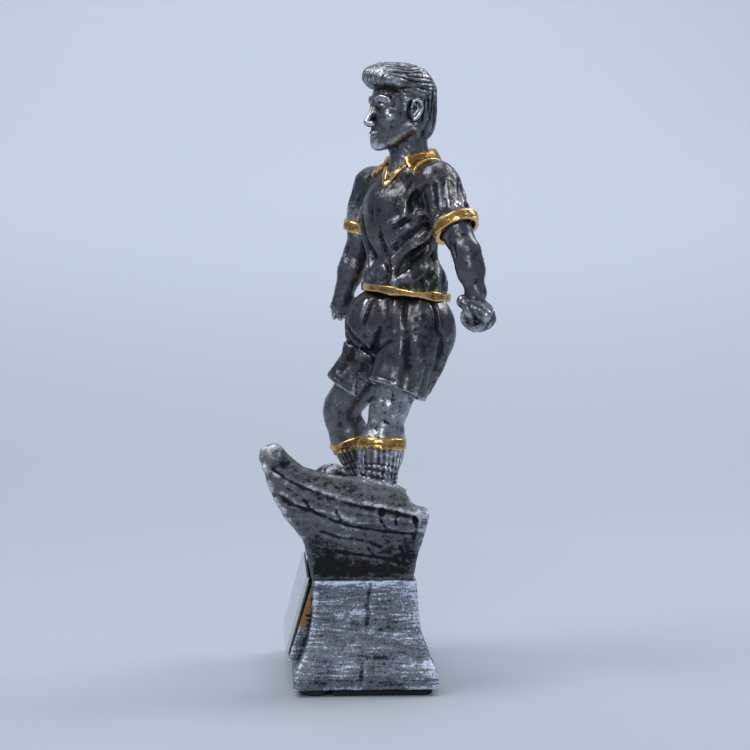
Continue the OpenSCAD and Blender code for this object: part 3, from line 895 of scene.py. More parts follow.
def nape_locks(hair, rng):
    """Locks down the back of the head to the nape"""
    for lean in np.linspace(-1.35, 1.35, 19):
        rise = np.linspace(0.55, -1.0, 8)
        side = lean + 0.06 * np.sin(np.linspace(0, 4, 8) + rng.uniform(0, 6))
        rays = np.stack([np.sin(side) * np.cos(rise), np.cos(side) * np.cos(rise), np.sin(rise)], 1)
        comb(hair, (0, 1.5, -1.0), rays, 14, (0.1, 0.2, 0.28, 0.3, 0.3, 0.28, 0.24, 0.14), 0.2)


def brim_locks(hair):
    """Locks on the brim, wound round its roll"""
    for number, x in enumerate(np.linspace(-5.0, 5.0, 19)):
        center = (x * 0.93, -6.6 + 0.085 * x * x, 4.6 - 0.03 * x * x)
        turns = np.linspace(-1.35, 1.25, 9)
        slant = 0.3 + 0.05 * x
        rays = np.stack([slant * np.sin(turns) + 0.05 * x, -np.cos(turns), np.sin(turns)], 1)
        depth = (0.3 if number % 2 else 0.2) * np.sin(np.linspace(0.5, math.pi - 0.4, 9))
        comb(hair, center, rays, 6, depth, 0.22)


# ---------- shirt ----------

def around(center, angle, height, turn):
    """Origin and direction of a level ray out of the body; angle 0 is its front, 90 its left"""
    origin = np.array([center[0], center[1], height])
    return origin, turned(turn + math.radians(angle))


def fold(clay, center, turn, stations, radius, carve=False, blend=0.7, lift=0.0):
    """A crease or ridge of cloth laid on the skin; a station is an angle and a height"""
    rays = [around(center, angle, height, turn) for angle, height in stations]
    points = clay.skin([r[0] for r in rays], [r[1] for r in rays])
    outward = np.array([r[1] for r in rays])
    points = points + lift * outward
    taper = np.sin(np.linspace(0.25, math.pi - 0.25, len(stations)))
    clay.strand(np.column_stack([points, radius * (0.35 + 0.65 * taper)]), blend, carve)


def down_sleeve(arm, past):
    """A point on the arm's line, so far past the end of the sleeve"""
    return arm.shoulder + unit(arm.elbow - arm.shoulder) * (arm.sleeve + past)


def shirt_clay():
    """The shirt with its folds and its two open sleeves"""
    clay = clay_for("torso", 0.3)
    chest_frame = turn_matrix(CHEST_TURN, math.radians(-4))
    hip_frame = turn_matrix(HIP_TURN)
    clay.press(egg(CHEST + [0, 0, 1.5], (13.6, 9.8, 13), chest_frame), 0.5)
    clay.press(egg(CHEST + turned(CHEST_TURN, (0, -1.6, 6)), (10.5, 8.0, 7.5), chest_frame), 2.5)
    clay.press(egg(WAIST + [0, -0.2, 4.5], (13.3, 11.2, 7.5), hip_frame), 4)
    clay.press(egg(WAIST + [0, 0, 1.0], (12.9, 10.8, 4.5), hip_frame), 2)
    left, right = LEFT_ARM.shoulder, RIGHT_ARM.shoulder
    clay.press(limb(right - [0, 0, 0.6], left, 4.6, 5.2), 3)
    clay.press(limb(left + [0, 0, 0.6], left + [0, 1.6, -1.4], 5.0, 5.2), 2)
    clay.press(limb(NECK + [0, 0.6, -4], NECK + [0, 0.3, -1.4], 7.6, 6.0), 3.5)
    clay.press(limb(NECK + [0, 0.8, -6.2], left + [0, 0, 0.2], 6.4, 4.9), 2)
    clay.press(limb(NECK + [0, 0.8, -6.2], right - [0, 0, 0.4], 6.2, 4.5), 2)
    for arm in ARMS:
        clay.press(limb(arm.shoulder, down_sleeve(arm, -1.5), 5.2, arm.opening), 2.2)
    clay.roughen(0.3, 7, seed=5)
    for shares, radius, carve in shirt_folds():
        stations = [(angle, WAIST[2] + share * (left[2] - WAIST[2])) for angle, share in shares]
        fold(clay, CHEST, CHEST_TURN, stations, 1.2 * radius, carve, 1.5, (0.35 if carve else -0.45) * radius)
    for arm in ARMS:
        sleeve_folds(clay, arm)
        clay.trim(down_sleeve(arm, 0), unit(arm.elbow - arm.shoulder), 9, 0.2)
        clay.press(limb(down_sleeve(arm, -3.5), down_sleeve(arm, 4), 4.6, 5.2), 0.3, carve=True)
    clay.keep(half_space(WAIST + WAIST_NORMAL * 1.2, -WAIST_NORMAL), 0.4)
    # the opening for the neck, and the V below it
    front = turned(CHEST_TURN)
    clay.press(limb(NECK + [0, 0, -3], NECK + [0, 0, 6], 4.9, 4.9), 0.3, carve=True)
    clay.press(limb(NECK + front * 8.6 + [0, 0, -6.6], NECK + front * 5.5 + [0, 0, 2], 0.9, 3.6),
               0.3, carve=True)
    clay.keep(half_space(NECK + [0, 0, -1.1], front * 0.34 + [0, 0, 1]), 0.3)
    clay.roughen(0.06, 1.1)
    clay.roughen(0.05, 0.5, seed=4)
    return clay


def shirt_folds():
    """Cloth folds, pulled from the left armpit and gathered at the belt.

    A station is an angle and a share of the way up from the waist to the shoulder.
    """
    folds = [
        ([(104, 0.95), (100, 0.8), (99, 0.62), (103, 0.48)], 0.9, True),
        ([(92, 0.88), (88, 0.75), (86, 0.6)], 0.8, False),
        ([(96, 0.66), (78, 0.6), (60, 0.5), (44, 0.42)], 1.0, True),
        ([(98, 0.6), (80, 0.5), (58, 0.38), (28, 0.26), (4, 0.2)], 1.15, False),
        ([(100, 0.52), (84, 0.4), (62, 0.28), (34, 0.17), (8, 0.13)], 1.05, True),
        ([(104, 0.42), (88, 0.3), (66, 0.17), (44, 0.1)], 1.0, False),
        ([(112, 0.36), (98, 0.24), (80, 0.12), (62, 0.06)], 0.85, True),
        ([(90, 0.8), (72, 0.72), (50, 0.66), (30, 0.63)], 0.8, False),
        ([(82, 0.74), (64, 0.68), (44, 0.6)], 0.7, True),
        ([(70, 0.98), (62, 0.86), (58, 0.74)], 0.7, False),
        ([(76, 0.98), (70, 0.86), (68, 0.76)], 0.6, True),
        ([(1, 0.86), (0, 0.78), (0, 0.68)], 0.3, True),
        ([(16, 0.6), (22, 0.4), (38, 0.2)], 0.6, True),
        ([(-40, 0.7), (-30, 0.5), (-12, 0.34)], 0.8, True),
        ([(-48, 0.62), (-38, 0.42), (-18, 0.24)], 0.8, False),
        ([(128, 0.6), (132, 0.4), (128, 0.2)], 0.9, True),
        ([(118, 0.5), (122, 0.3), (118, 0.12)], 0.9, False),
    ]
    # the back: slack cloth falling between the shoulder blades
    for number, angle in enumerate((150, 168, 186, 204, 224, 244)):
        sway = 8 if number % 2 else -7
        stations = [(angle, 0.85), (angle + sway, 0.55), (angle - sway, 0.25), (angle, 0.08)]
        folds.append((stations, 0.75, number % 2 == 0))
    # short gathers just above the belt, all the way round
    for number in range(26):
        angle = 360 * number / 26
        top = 0.16 + 0.07 * math.sin(2.7 * number)
        folds.append(([(angle, 0.05), (angle + 5 * math.sin(number), top)], 0.5, number % 2 == 0))
    return folds


def sleeve_folds(clay, arm):
    """Creases along the sleeve, fanning out from the shoulder seam"""
    way = unit(arm.elbow - arm.shoulder)
    side = unit(np.cross(way, (0.2, 0.1, 1)))
    other = np.cross(way, side)
    for number in range(9):
        angle = math.tau * number / 9
        out = math.cos(angle) * side + math.sin(angle) * other
        bend = math.cos(angle + 0.5) * side + math.sin(angle + 0.5) * other
        start = clay.skin([arm.shoulder + way * 3], [out], 12)[0]
        finish = clay.skin([down_sleeve(arm, -2.5)], [bend], 12)[0]
        middle = clay.skin([arm.shoulder + way * arm.sleeve / 2], [out + bend], 12)[0]
        rows = [(*start, 0.25), (*middle, 0.55), (*finish, 0.3)]
        clay.strand(rows, 1.0, carve=number % 2 == 0)


def collar_mesh(shirt):
    """Turned-down collar that hugs the shirt, with strips running down to the point of the V"""
    clay = Clay(NECK - [13, 14, 11], NECK + [13, 13, 7], 0.2)
    _, x, y, z = clay.everywhere()
    front, side = turned(CHEST_TURN), turned(CHEST_TURN, (1, 0, 0))
    ahead = (x - NECK[0]) * front[0] + (y - NECK[1]) * front[1]
    aside = np.abs((x - NECK[0]) * side[0] + (y - NECK[1]) * side[1])
    from_front = np.arctan2(aside, ahead)
    clay.press(limb(NECK + [0, 0.4, -5], NECK + [0, 0.2, 1.8], 10.3, 6.6), 0.3)
    hug = clay.borrow(shirt)
    clay.field = soft_min(clay.field, hug - 0.9, 0.6)
    point = np.exp(-((from_front - 0.85) / 0.22) ** 2)
    edge = NECK[2] - 4.8 - 0.14 * ahead - 1.3 * point
    reach = 10.5 + 1.2 * point + 0.08 * ahead
    clay.field = soft_max(clay.field, edge - z, 0.35)
    clay.field = soft_max(clay.field, np.sqrt(ahead**2 + aside**2) - reach, 0.35)
    clay.field = soft_max(clay.field, (0.62 - from_front) * 8 + 0.5 * (NECK[2] - z), 0.3)
    clay.keep(half_space(NECK + [0, 0, 1.3], front * 0.2 + [0, 0, 1]), 0.5)
    tip = NECK + front * 9.0 + [0, 0, -7.7]
    for s in SIDES:
        top = NECK + front * 5.0 + side * s * 4.2 + [0, 0, -1.6]
        middle = (top + tip) / 2 + front * 1.0
        strip = clay.spare()
        strip.strand([(*top, 1.35), (*middle, 1.15), (*tip, 0.95)], 0.2)
        clay.field = soft_min(clay.field, soft_max(strip.field, hug - 0.55, 0.25), 0.25)
    clay.field = soft_max(clay.field, -(hug + 1.2), 0.2)
    clay.press(limb(NECK + [0, 0.4, -9], NECK + [0, 0.3, 6], 4.9, 4.7), 0.3, carve=True)
    clay.roughen(0.16, 1.8, seed=9)
    clay.roughen(0.05, 0.5, seed=2)
    return clay.mesh("collar")


def cuff_mesh(name, arm):
    """Band round the sleeve's end, with a seam near its edge"""
    clay = clay_for(name, 0.2, 2.0)
    clay.press(tube(down_sleeve(arm, -0.9), down_sleeve(arm, 2.0), arm.opening - 0.3, 0.75, 1.04), 0.3)
    seam = tube(down_sleeve(arm, 1.45), down_sleeve(arm, 1.75), arm.opening + 0.55, 0.18)
    clay.press(seam, 0.25, carve=True)
    clay.roughen(0.22, 2.6, seed=8)
    clay.roughen(0.05, 0.6, seed=6)
    return clay.mesh(name)


# ---------- shorts and belt ----------

# each hem is cut off square only this near its own leg
HEM_REACH = math.sqrt(150)


def shorts_mesh():
    """Wide shorts with slack over each hip, open at the two hems"""
    clay = clay_for("shorts", 0.3)
    hip_frame = turn_matrix(HIP_TURN)
    middle = (LEFT_LEG.hip + RIGHT_LEG.hip) / 2
    clay.press(egg(middle + [0, 0.4, 5.5], (13.2, 11.0, 10.5), hip_frame), 0.5)
    hems = []
    for leg, top, end in ((LEFT_LEG, 8.6, 8.7), (RIGHT_LEG, 8.5, 8.3)):
        way = unit(leg.knee - leg.hip)
        hem = leg.hip + way * leg.covered * np.linalg.norm(leg.knee - leg.hip)
        hems.append((way, hem, end))
        clay.press(limb(leg.hip - way * 2, hem, top, end), 2.5)
        clay.press(limb(leg.hip + [0, 0, 4], leg.hip + way * 4, 8.2, 8.4), 2.5)
    for leg, slack in ((LEFT_LEG, (0, 2.6, 1.6)), (RIGHT_LEG, (1.8, -3.3, 3.2))):
        clay.press(egg(leg.hip + np.array(slack) * U, (8.3, 8.2, 10)), 3.5)
    seat = turned(HIP_TURN, (0, 1, 0))
    clay.press(egg(middle + seat * 3.5 + [0, 0, -1], (10.5, 8.5, 8.5), hip_frame), 2.5)
    clay.keep(half_space(WAIST + WAIST_NORMAL * 0.3, WAIST_NORMAL), 0.4)
    clay.roughen(0.45, 6.5, seed=15)
    shorts_folds(clay, middle, min(hem[2] for way, hem, end in hems))
    for way, hem, end in hems:
        clay.trim(hem, way, HEM_REACH, 0.3)
    for way, hem, end in hems:
        clay.press(limb(hem - way * 2.0, hem + way * 5, end - 1.6, end - 0.6), 0.4, carve=True)
        clay.press(tube(hem - way * 1.7, hem - way * 1.4, end + 0.2, 0.25), 0.35, carve=True)
    clay.roughen(0.05, 1.1, seed=21)
    clay.roughen(0.04, 0.5, seed=22)
    return clay.mesh("shorts")


def shorts_folds(clay, middle, low_z):
    """Gathers under the belt, long creases down the legs, and creases at the fork"""
    span = WAIST[2] - low_z
    for number in range(22):
        angle = 360 * number / 22 + 6 * math.sin(3.1 * number)
        fall = 0.22 + 0.16 * (1 + math.sin(2.3 * number)) / 2
        stations = [(angle, WAIST[2] - 1.6), (angle + 4 * math.sin(number), WAIST[2] - fall * span)]
        carve = number % 2 == 0
        fold(clay, middle, HIP_TURN, stations, 0.75, carve, 1.2, 0.25 if carve else -0.3)
    for angle, high, low, radius, carve in (
            (62, 0.62, 0.12, 0.9, True), (74, 0.55, 0.02, 0.9, False), (100, 0.6, 0.1, 0.85, True),
            (112, 0.5, 0.04, 0.9, False), (135, 0.55, 0.12, 0.9, True), (152, 0.5, 0.06, 0.8, False),
            (-28, 0.6, 0.25, 0.9, True), (-40, 0.5, 0.2, 0.8, False), (215, 0.6, 0.2, 0.9, True),
            (200, 0.55, 0.15, 0.8, False), (245, 0.55, 0.2, 0.9, True), (265, 0.5, 0.2, 0.8, False)):
        top, bottom = low_z + high * span, low_z + low * span
        stations = [(angle, top), (angle + 3, (top + bottom) / 2), (angle - 2, bottom)]
        fold(clay, middle, HIP_TURN, stations, 1.2 * radius, carve, 1.5, 0.3 if carve else -0.4)
    # creases at the fork, pulled towards each thigh
    for facing in (0, 180):
        for s in SIDES:
            for spread, rise in ((26, 0.2), (44, 0.08)):
                stations = [(facing + s * 4, low_z + 0.42 * span),
                            (facing + s * spread * 0.6, low_z + (0.46 + rise / 2) * span),
                            (facing + s * spread, low_z + (0.48 + rise) * span)]
                fold(clay, middle, HIP_TURN, stations, 0.5, True, 1.3, -0.1)
    fork = middle + [0, 0, -3]
    for front in (turned(HIP_TURN), -turned(HIP_TURN)):
        clay.press(limb(fork + front * 9 + [0, 0, 2], fork + front * 7 + [0, 0, -14], 0.6, 1.6),
                   1.0, carve=True)


def belt_mesh():
    """Waistband: a shallow slice of an oval ring, following the waist's tilt"""
    clay = clay_for("belt", 0.22, 2.5)
    hip_frame = turn_matrix(HIP_TURN)
    middle = WAIST + WAIST_NORMAL * 0.75
    clay.press(egg(middle, (14.1, 11.9, 60), hip_frame), 0.3)
    clay.press(egg(middle, (12.2, 10.0, 60), hip_frame), 0.3, carve=True)
    clay.keep(half_space(middle + WAIST_NORMAL * 1.15, WAIST_NORMAL), 0.6)
    clay.keep(half_space(middle - WAIST_NORMAL * 1.15, -WAIST_NORMAL), 0.6)
    clay.roughen(0.32, 4.0, seed=31)
    clay.roughen(0.05, 0.6, seed=32)
    return clay.mesh("belt")


# ---------- arms ----------

def fist(clay, wrist, way, side, size):
    """A closed hand: way runs from wrist to knuckles, and side points to the thumb"""
    way, side = unit(way), unit(side)
    inward = unit(np.cross(way, side))
    knuckles = wrist + way * 3.3 * size
    m = np.stack([side, way, np.cross(side, way)], 1)
    clay.press(block(wrist + way * 1.9 * size, (2.0 * size, 1.9 * size, 1.0 * size), m, 0.9 * size), 1.2)
    clay.press(limb(wrist + side * 1.0 * size, wrist + way * 2 * size + side * 1.5 * size,
                    0.9 * size, 0.75 * size), 0.8)
    # fingers: how far each joint lies ahead of the knuckle, and in towards the palm
    bends = ((0, 0), (0.75, 0.95), (0.1, 2.2), (-1.35, 2.05), (-1.9, 1.2))
    for number, width in enumerate((0.51, 0.55, 0.53, 0.46)):
        offset = side * (1.5 - number) * 1.12 * size
        root = knuckles + offset * 0.95 - way * (0.15 * abs(number - 1) * size)
        clay.strand([(*(root + way * a * size + inward * b * size + offset * 0.03 * n),
                      width * size * (1 - 0.06 * n)) for n, (a, b) in enumerate(bends)], 0.28)
    # the thumb, folded over them
    root = wrist + side * 1.7 * size + way * 0.7 * size
    joints = ((0, 0, 0, 0.62), (1.3, 0.9, 0.3, 0.6), (2.05, 2.2, -0.7, 0.55), (2.04, 2.7, -1.9, 0.46))
    clay.strand([(*(root + (way * a + inward * b + side * c) * size), r * size)
                 for a, b, c, r in joints], 0.3)


def arm_clay(name, arm):
    """Bare arm from inside the sleeve to the wrist"""
    elbow, wrist = arm.elbow, arm.wrist
    clay = clay_for(name, 0.22, 4.0)
    inner = down_sleeve(arm, -4.5)
    front = turned(CHEST_TURN)
    down = unit(wrist - elbow)
    clay.press(limb(inner, elbow, 4.1, 3.7), 0.4)
    clay.press(egg((inner + elbow) / 2 + front * 0.5, (3.8, 3.9, 5.0)), 1.5)
    clay.press(limb(elbow, elbow + (wrist - elbow) * 0.45, 3.7, 3.8), 1.5)
    clay.press(limb(elbow + (wrist - elbow) * 0.35, wrist, 3.6, 2.7), 1.5)
    # the elbow's point, and the crease inside the bend
    clay.press(limb(elbow - front * 0.9, elbow - front * 1.2 + down, 2.9, 2.4), 1.0)
    clay.strand([(*(elbow + front * 3.8 - down * 1.6), 0.2), (*(elbow + front * 3.9), 0.3),
                 (*(elbow + front * 3.6 + down * 1.6), 0.2)], 0.8, carve=True)
    return clay


def left_arm_mesh():
    """Near arm, with its big fist turned across the body"""
    clay = arm_clay("left_arm", LEFT_ARM)
    wrist = LEFT_ARM.wrist
    clay.press(limb(wrist, wrist + [0, -1.2, -2.0], 2.9, 2.5), 1.2)
    fist(clay, wrist + [0, -2.6, -2.2], (0.1, 0.82, -0.5), (0.86, -0.5, 0), 2.1)
    return arm_skin(clay, "left_arm")


def right_arm_mesh():
    """Far arm, hanging with a loosely closed hand"""
    clay = arm_clay("right_arm", RIGHT_ARM)
    wrist = RIGHT_ARM.wrist
    knuckles = body_at(-10, -8.6, 44.6)
    fist(clay, wrist + [0, 0.6, 0], knuckles - wrist + [0, 1.2, -1], turned(CHEST_TURN) + [-0.5, 0, 0], 1.6)
    return arm_skin(clay, "right_arm")


def arm_skin(clay, name):
    clay.roughen(0.18, 2.6, seed=41)
    clay.roughen(0.05, 0.8, seed=42)
    return clay.mesh(name)


# ---------- legs, boots and socks ----------

SOCK_RIBS = 26


def leg_clay(name, leg):
    """Bare knee, and the ribbed sock below its band, down into the boot"""
    knee, ankle, stout = leg.knee, leg.ankle, leg.stout
    clay = clay_for(name, 0.22, 2.5)
    front = turned(math.radians(leg.turn))
    thigh = unit(knee - leg.hip)
    shin = unit(ankle - knee)
    start = leg.hip + thigh * (leg.covered * np.linalg.norm(knee - leg.hip) - 4)
    clay.press(limb(start, knee - thigh * 2, 6.3, 5.2), 0.5)
    clay.press(limb(knee - thigh * 2, knee + shin * 2, 5.1, 4.9), 1.2)
    clay.press(egg(knee + front * 2.2, (2.9, 2.5, 3.1)), 1.0)
    calf = knee + shin * 8 + front * 0.75 * stout
    clay.press(limb(knee + shin * 3 + front * 0.3 * stout, calf, 4.9, 5.3 + 0.5 * stout), 1.0)
    clay.press(limb(knee - front * 0.8 + shin * 5, knee - front * 0.5 + shin * 11, 4.9, 4.7), 1.4)
    clay.press(limb(calf, ankle + front * 1.2 * stout, 5.2 + 0.5 * stout, 4.2 + 0.8 * stout), 1.2)
    clay.press(limb(ankle + front * 1.2 * stout, ankle - [0, 0, 3], 4.0 + 0.7 * stout, 4.0), 0.8)
    sock_ribs(clay, leg, shin, front)
    clay.keep(half_space((0, 0, FLOOR + 5.0), (0, 0, -1)), 0.3)
    clay.roughen(0.15, 2.4, seed=51)
    clay.roughen(0.05, 0.8, seed=52)
    return clay


def sock_ribs(clay, leg, shin, front):
    """Raised ribs that run down the sock from its band, and creases that cross them"""
    knee = leg.knee
    length = np.linalg.norm(leg.ankle - knee)
    top = knee + shin * (leg.band * length + 1.4)
    side = unit(np.cross(shin, front))
    forward = np.cross(side, shin)

    def ribs(x, y, z):
        p = np.stack([x - top[0], y - top[1], z - top[2]], -1)
        below = smooth_step(0.4, 1.6, p @ shin)
        angle = np.arctan2(p @ forward, p @ side)
        return 0.15 * (below * np.cos(SOCK_RIBS * angle))

    clay.shift(ribs)
    for number in range(5):
        at = knee + shin * (length * (0.62 + 0.075 * number))
        angles = np.linspace(0, math.tau, 9) + number
        lift = 0.5 * np.sin(angles * 2 + number)
        rays = [math.cos(a) * side + math.sin(a) * forward for a in angles]
        points = clay.skin([at] * 9, rays, 9) + np.outer(lift, shin)
        clay.strand(np.column_stack([points, np.full(9, 0.12)]), 0.7, carve=True)


def band_mesh(name, sock, leg):
    """A painted band standing a little proud of the sock, with a groove round its middle"""
    shin = unit(leg.ankle - leg.knee)
    start = leg.knee + shin * (leg.band * np.linalg.norm(leg.ankle - leg.knee) - 0.3)
    clay = clay_for(name, 0.18, 3.0)
    hug = clay.borrow(sock)
    _, x, y, z = clay.everywhere()
    down = along(x, y, z, start, shin)
    groove = 0.1 * np.exp(-((down - 1.9) / 0.28) ** 2)
    wave = 0.14 * noise(x, y, z, 3.5, 63)
    clay.field = soft_max(hug - 0.55 + groove, np.abs(down - 1.7) - 1.7 + wave, 0.5)
    clay.field = soft_max(clay.field, -(hug + 0.8), 0.2)
    clay.roughen(0.08, 1.8, seed=61)
    clay.roughen(0.03, 0.6, seed=62)
    return clay.mesh(name)


def boot_mesh(name, leg):
    """Football boot with a soft ankle roll, a tongue and a flat sole"""
    clay = clay_for(name, 0.22, 2.0)
    turn = math.radians(leg.turn)
    front = turned(turn)
    side = turned(turn, (1, 0, 0))
    ground = np.array([leg.ankle[0], leg.ankle[1], FLOOR])
    up = np.array([0, 0, 1.0])
    clay.press(limb(ground - front * 1.8 + up * 2.6, ground + front * 2 + up * 3, 3.1, 3.2), 0.5)
    clay.press(limb(ground + front * 2 + up * 3.0, ground + front * 8.6 + up * 2.1, 3.2, 2.6), 1.2)
    clay.press(egg(ground + front * 8.5 + up * 2.2, (3.4, 3.6, 2.5), turn_matrix(turn)), 1.2)
    clay.press(limb(ground + up * 3, ground + up * (6.6 * U - 0.8), 3.5, 4.3), 1.5)
    clay.press(tube(ground + up * 7.0, ground + up * 8.2, 4.2, 0.6), 0.4)
    # tongue and side seams
    clay.strand([(*(ground + front * 3.0 + up * 7.6), 1.1), (*(ground + front * 4.8 + up * 5.6), 1.1),
                 (*(ground + front * 7.0 + up * 4.5), 0.8)], 0.4)
    for s in SIDES:
        clay.strand([(*(ground - front * 2 + side * s * 3.2 + up * 3.4), 0.2),
                     (*(ground + front * 3 + side * s * 3.3 + up * 3.8), 0.25),
                     (*(ground + front * 8 + side * s * 3.0 + up * 2.4), 0.2)], 0.3, carve=True)
    # heel and sole
    for a, b, w in ((-2.2, 1.5, 3.0), (2.5, 8.8, 3.4)):
        clay.press(limb(ground + front * a + up * 0.5, ground + front * b + up * 0.5, w, w), 0.2)
    clay.keep(half_space((0, 0, FLOOR + 0.02), (0, 0, -1)), 0.2)
    clay.roughen(0.12, 1.8, seed=71)
    clay.roughen(0.05, 0.6, seed=72)
    return clay.mesh(name)


# ---------- rock ledge and plinth ----------

# the ledge's half length, front and rear against height above its foot
LEDGE_SIDE = ((0, 29.2), (6, 30.2), (11, 32), (15, 34), (17.5, 35), (40, 35))
LEDGE_FRONT = ((0, -14.6), (7, -15.5), (11.5, -16.9), (14.5, -19.2), (17.5, -21.6), (21, -23.6),
               (24, -25.2), (28, -26.6), (31, -27.5), (38, -28))
LEDGE_REAR = ((0, 13), (5, 14), (11, 15.4), (16, 16.4), (18, 16.9), (21, 16.7), (40, 16))
# how far the near face's lip, its rim and its first layer lie below the prow's tip, against depth
LIP_DROP = ((-29, 5.2), (-24, 7.0), (-19, 9.9), (-12, 12.3), (-4, 14.8), (5, 16.6), (17, 18.7))
RIM_DROP = ((-29, 2), (-24, 1.2), (-20.5, 3.3), (-17, 6.2), (-12, 7.7), (-5, 9.0), (3, 10.2),
            (8, 11.3), (11.2, 12.9), (12.3, 16.6), (17, 18.0))
LAYER_DROP = ((-29, 5.9), (-24, 7.8), (-19, 10.6), (-12, 13.2), (-4, 15.7), (5, 17.4), (17, 19.6))
# how far the plinth's sides draw in, against height above the felt
PLINTH_SWEEP = ((0, 0), (3.5, 0.05), (4.7, 0.3), (6.2, 1.0), (8.6, 2.3), (12, 3.5), (15.7, 4.4),
                (20, 5.0), (24, 5.3), (PED_HIGH[2] - PED_LOW[2], 5.5))
# the raised panel under the nameplate: half its width, and the height of its foot on the plinth
PANEL_HALF = 27.0
PANEL_FOOT = 8.0


def on_curve(stations, value):
    """Reads a profile, given as value and size pairs, with straight lines between them"""
    keys, sizes = zip(*stations)
    return np.interp(value, keys, sizes)


def ledge_mesh():
    """Rock ledge: overhanging front, raised near rim with a smooth bevel, prow and sunken floor"""
    clay = Clay(DECK_LOW - [1.5, 2, 1], DECK_HIGH + [1.5, 2, 1.5], 0.36)
    _, x, y, z = clay.everywhere()
    z0 = DECK_LOW[2]
    tip = DECK_HIGH[2]
    rise = z - z0
    half_x = on_curve(LEDGE_SIDE, rise)
    front = on_curve(LEDGE_FRONT, rise)
    rear = on_curve(LEDGE_REAR, rise)
    lip = tip - on_curve(LIP_DROP, y)
    rim = tip - on_curve(RIM_DROP, y)
    # bevel above the lip on the near side
    above = np.maximum(z - lip, 0)
    near = half_x - np.minimum(above * 0.62, 6.5) + 0.5 * np.exp(-((z - lip + 0.9) / 0.9) ** 2)
    near = near - 0.6 * smooth_step(5.6, 6.6, lip - z + 0.4 * np.sin(0.5 * y))
    # height of the ledge's top: floor, far side, near rim and the front edge that climbs to the prow
    share = smooth_step(21, 29.5, x)
    low_top = FLOOR + 0.2 + 1.6 * smooth_step(13.2, 15.5, y) + 0.35 * noise(x, y, 0 * x, 4.0, 81)
    edge = smooth_step(-16.5, -20.0, y)
    climb = FLOOR + 1.5 + (tip - 6 - FLOOR - 1.5) * smooth_step(2, 30, x)
    low_top = low_top + (climb - low_top) * edge
    top = low_top + (rim - low_top) * share
    slope_x, slope_y = np.gradient(top[:, :, 0], clay.step)
    steep = np.sqrt(1 + slope_x**2 + slope_y**2)[:, :, None]
    d = soft_max(x - near, -half_x - x, 1.0)
    d = soft_max(d, front - y, 1.2)
    d = soft_max(d, y - rear, 1.0)
    d = soft_max(d, (z - top) / steep, 1.0)
    d = soft_max(d, z0 - z, 0.4)
    clay.field = d.astype(np.float32)
    # the rolled tip of the prow
    knob = [(28.5, -25.0, tip - 3.8, 2.4), (30.8, -25.2, tip - 3.0, 2.7), (32.3, -25.0, tip - 3.5, 2.2)]
    clay.strand(knob, 2.6)
    clay.roughen(0.3, 6.5, seed=82)
    clay.shift(lambda x, y, z: (0.4 * noise(x, y, z, 2.2, 85)
                                * (smooth_step(-19, -24, y) * smooth_step(24, 30, x))))
    ledge_strata(clay, tip)
    ledge_cracks(clay, z0)
    clay.roughen(0.1, 1.6, seed=83)
    clay.roughen(0.07, 0.8, seed=84)
    clay.keep(half_space((0, 0, z0 + 0.02), (0, 0, -1)), 0.1)
    return clay.mesh("deck")


def ledge_strata(clay, tip):
    """Layers of rock: they sweep down the near face from under the prow, and lie level elsewhere"""
    # drop below the first layer, radius, cut or raised, and the depths it runs through
    lines = [
        (0.0, 0.36, True, (-26, -18, -10, -2, 6, 16)),
        (-1.8, 0.3, False, (-24, -16, -8, 2, 10, 16)),
        (-6.0, 0.32, True, (-21, -17, -10, -3, 5, 12, 16)),
        (-10.5, 0.3, True, (-12, -7, -1, 4)),
        (-14.4, 0.3, True, (-8, -2, 4, 11)),
    ]
    for drop, radius, carve, places in lines:
        ys = np.array(places, float)
        level = tip - on_curve(LAYER_DROP, ys) + drop
        level = level + 0.5 * np.sin(ys * 0.7 + drop)
        ok = level > DECK_LOW[2] + 1
        origins = np.stack([np.full(ok.sum(), 20.0), np.clip(ys[ok], -30, 16), level[ok]], 1)
        origins[:, 1] = np.clip(origins[:, 1], on_curve([(30, -12), (48, -19), (62, -25)], origins[:, 2]), 13)
        points = clay.skin(origins, [(1, 0, 0)] * len(origins), 20)
        if len(points) > 1:
            clay.strand(np.column_stack([points, np.full(len(points), radius)]), 0.6, carve)
    # level layers on the front, far and rear faces
    for number, height in enumerate((34, 37.5, 41, 44)):
        for face in ((0, -1, 0), (-1, 0, 0), (0, 1, 0)):
            across = np.array([face[1], face[0], 0], float)
            reach = 26 if face[1] else 11
            spots = np.linspace(-reach, reach, 8)
            wander = 0.8 * np.sin(spots * 0.35 + number * 1.7)
            origins = np.stack([across[0] * spots, across[1] * spots, height + wander], 1)
            points = clay.skin(origins, [face] * 8, 45)
            clay.strand(np.column_stack([points, 0.3 + 0.12 * np.cos(spots)]), 0.5, carve=number % 2 == 0)


def crack(clay, start, way, face, length, radius, rng):
    """A jagged crack that wanders across a face"""
    way, face = unit(way), unit(face)
    sideways = np.cross(way, face)
    count = max(4, int(length / 1.6))
    rows = [np.array(start) + way * length * n / count + sideways * rng.uniform(-0.55, 0.55)
            for n in range(count + 1)]
    points = clay.skin(rows, [face] * len(rows), 45)
    taper = radius * (0.5 + 0.5 * np.sin(np.linspace(0.3, math.pi - 0.2, len(rows))))
    clay.strand(np.column_stack([points, taper]), 0.3, carve=True, pieces=1)


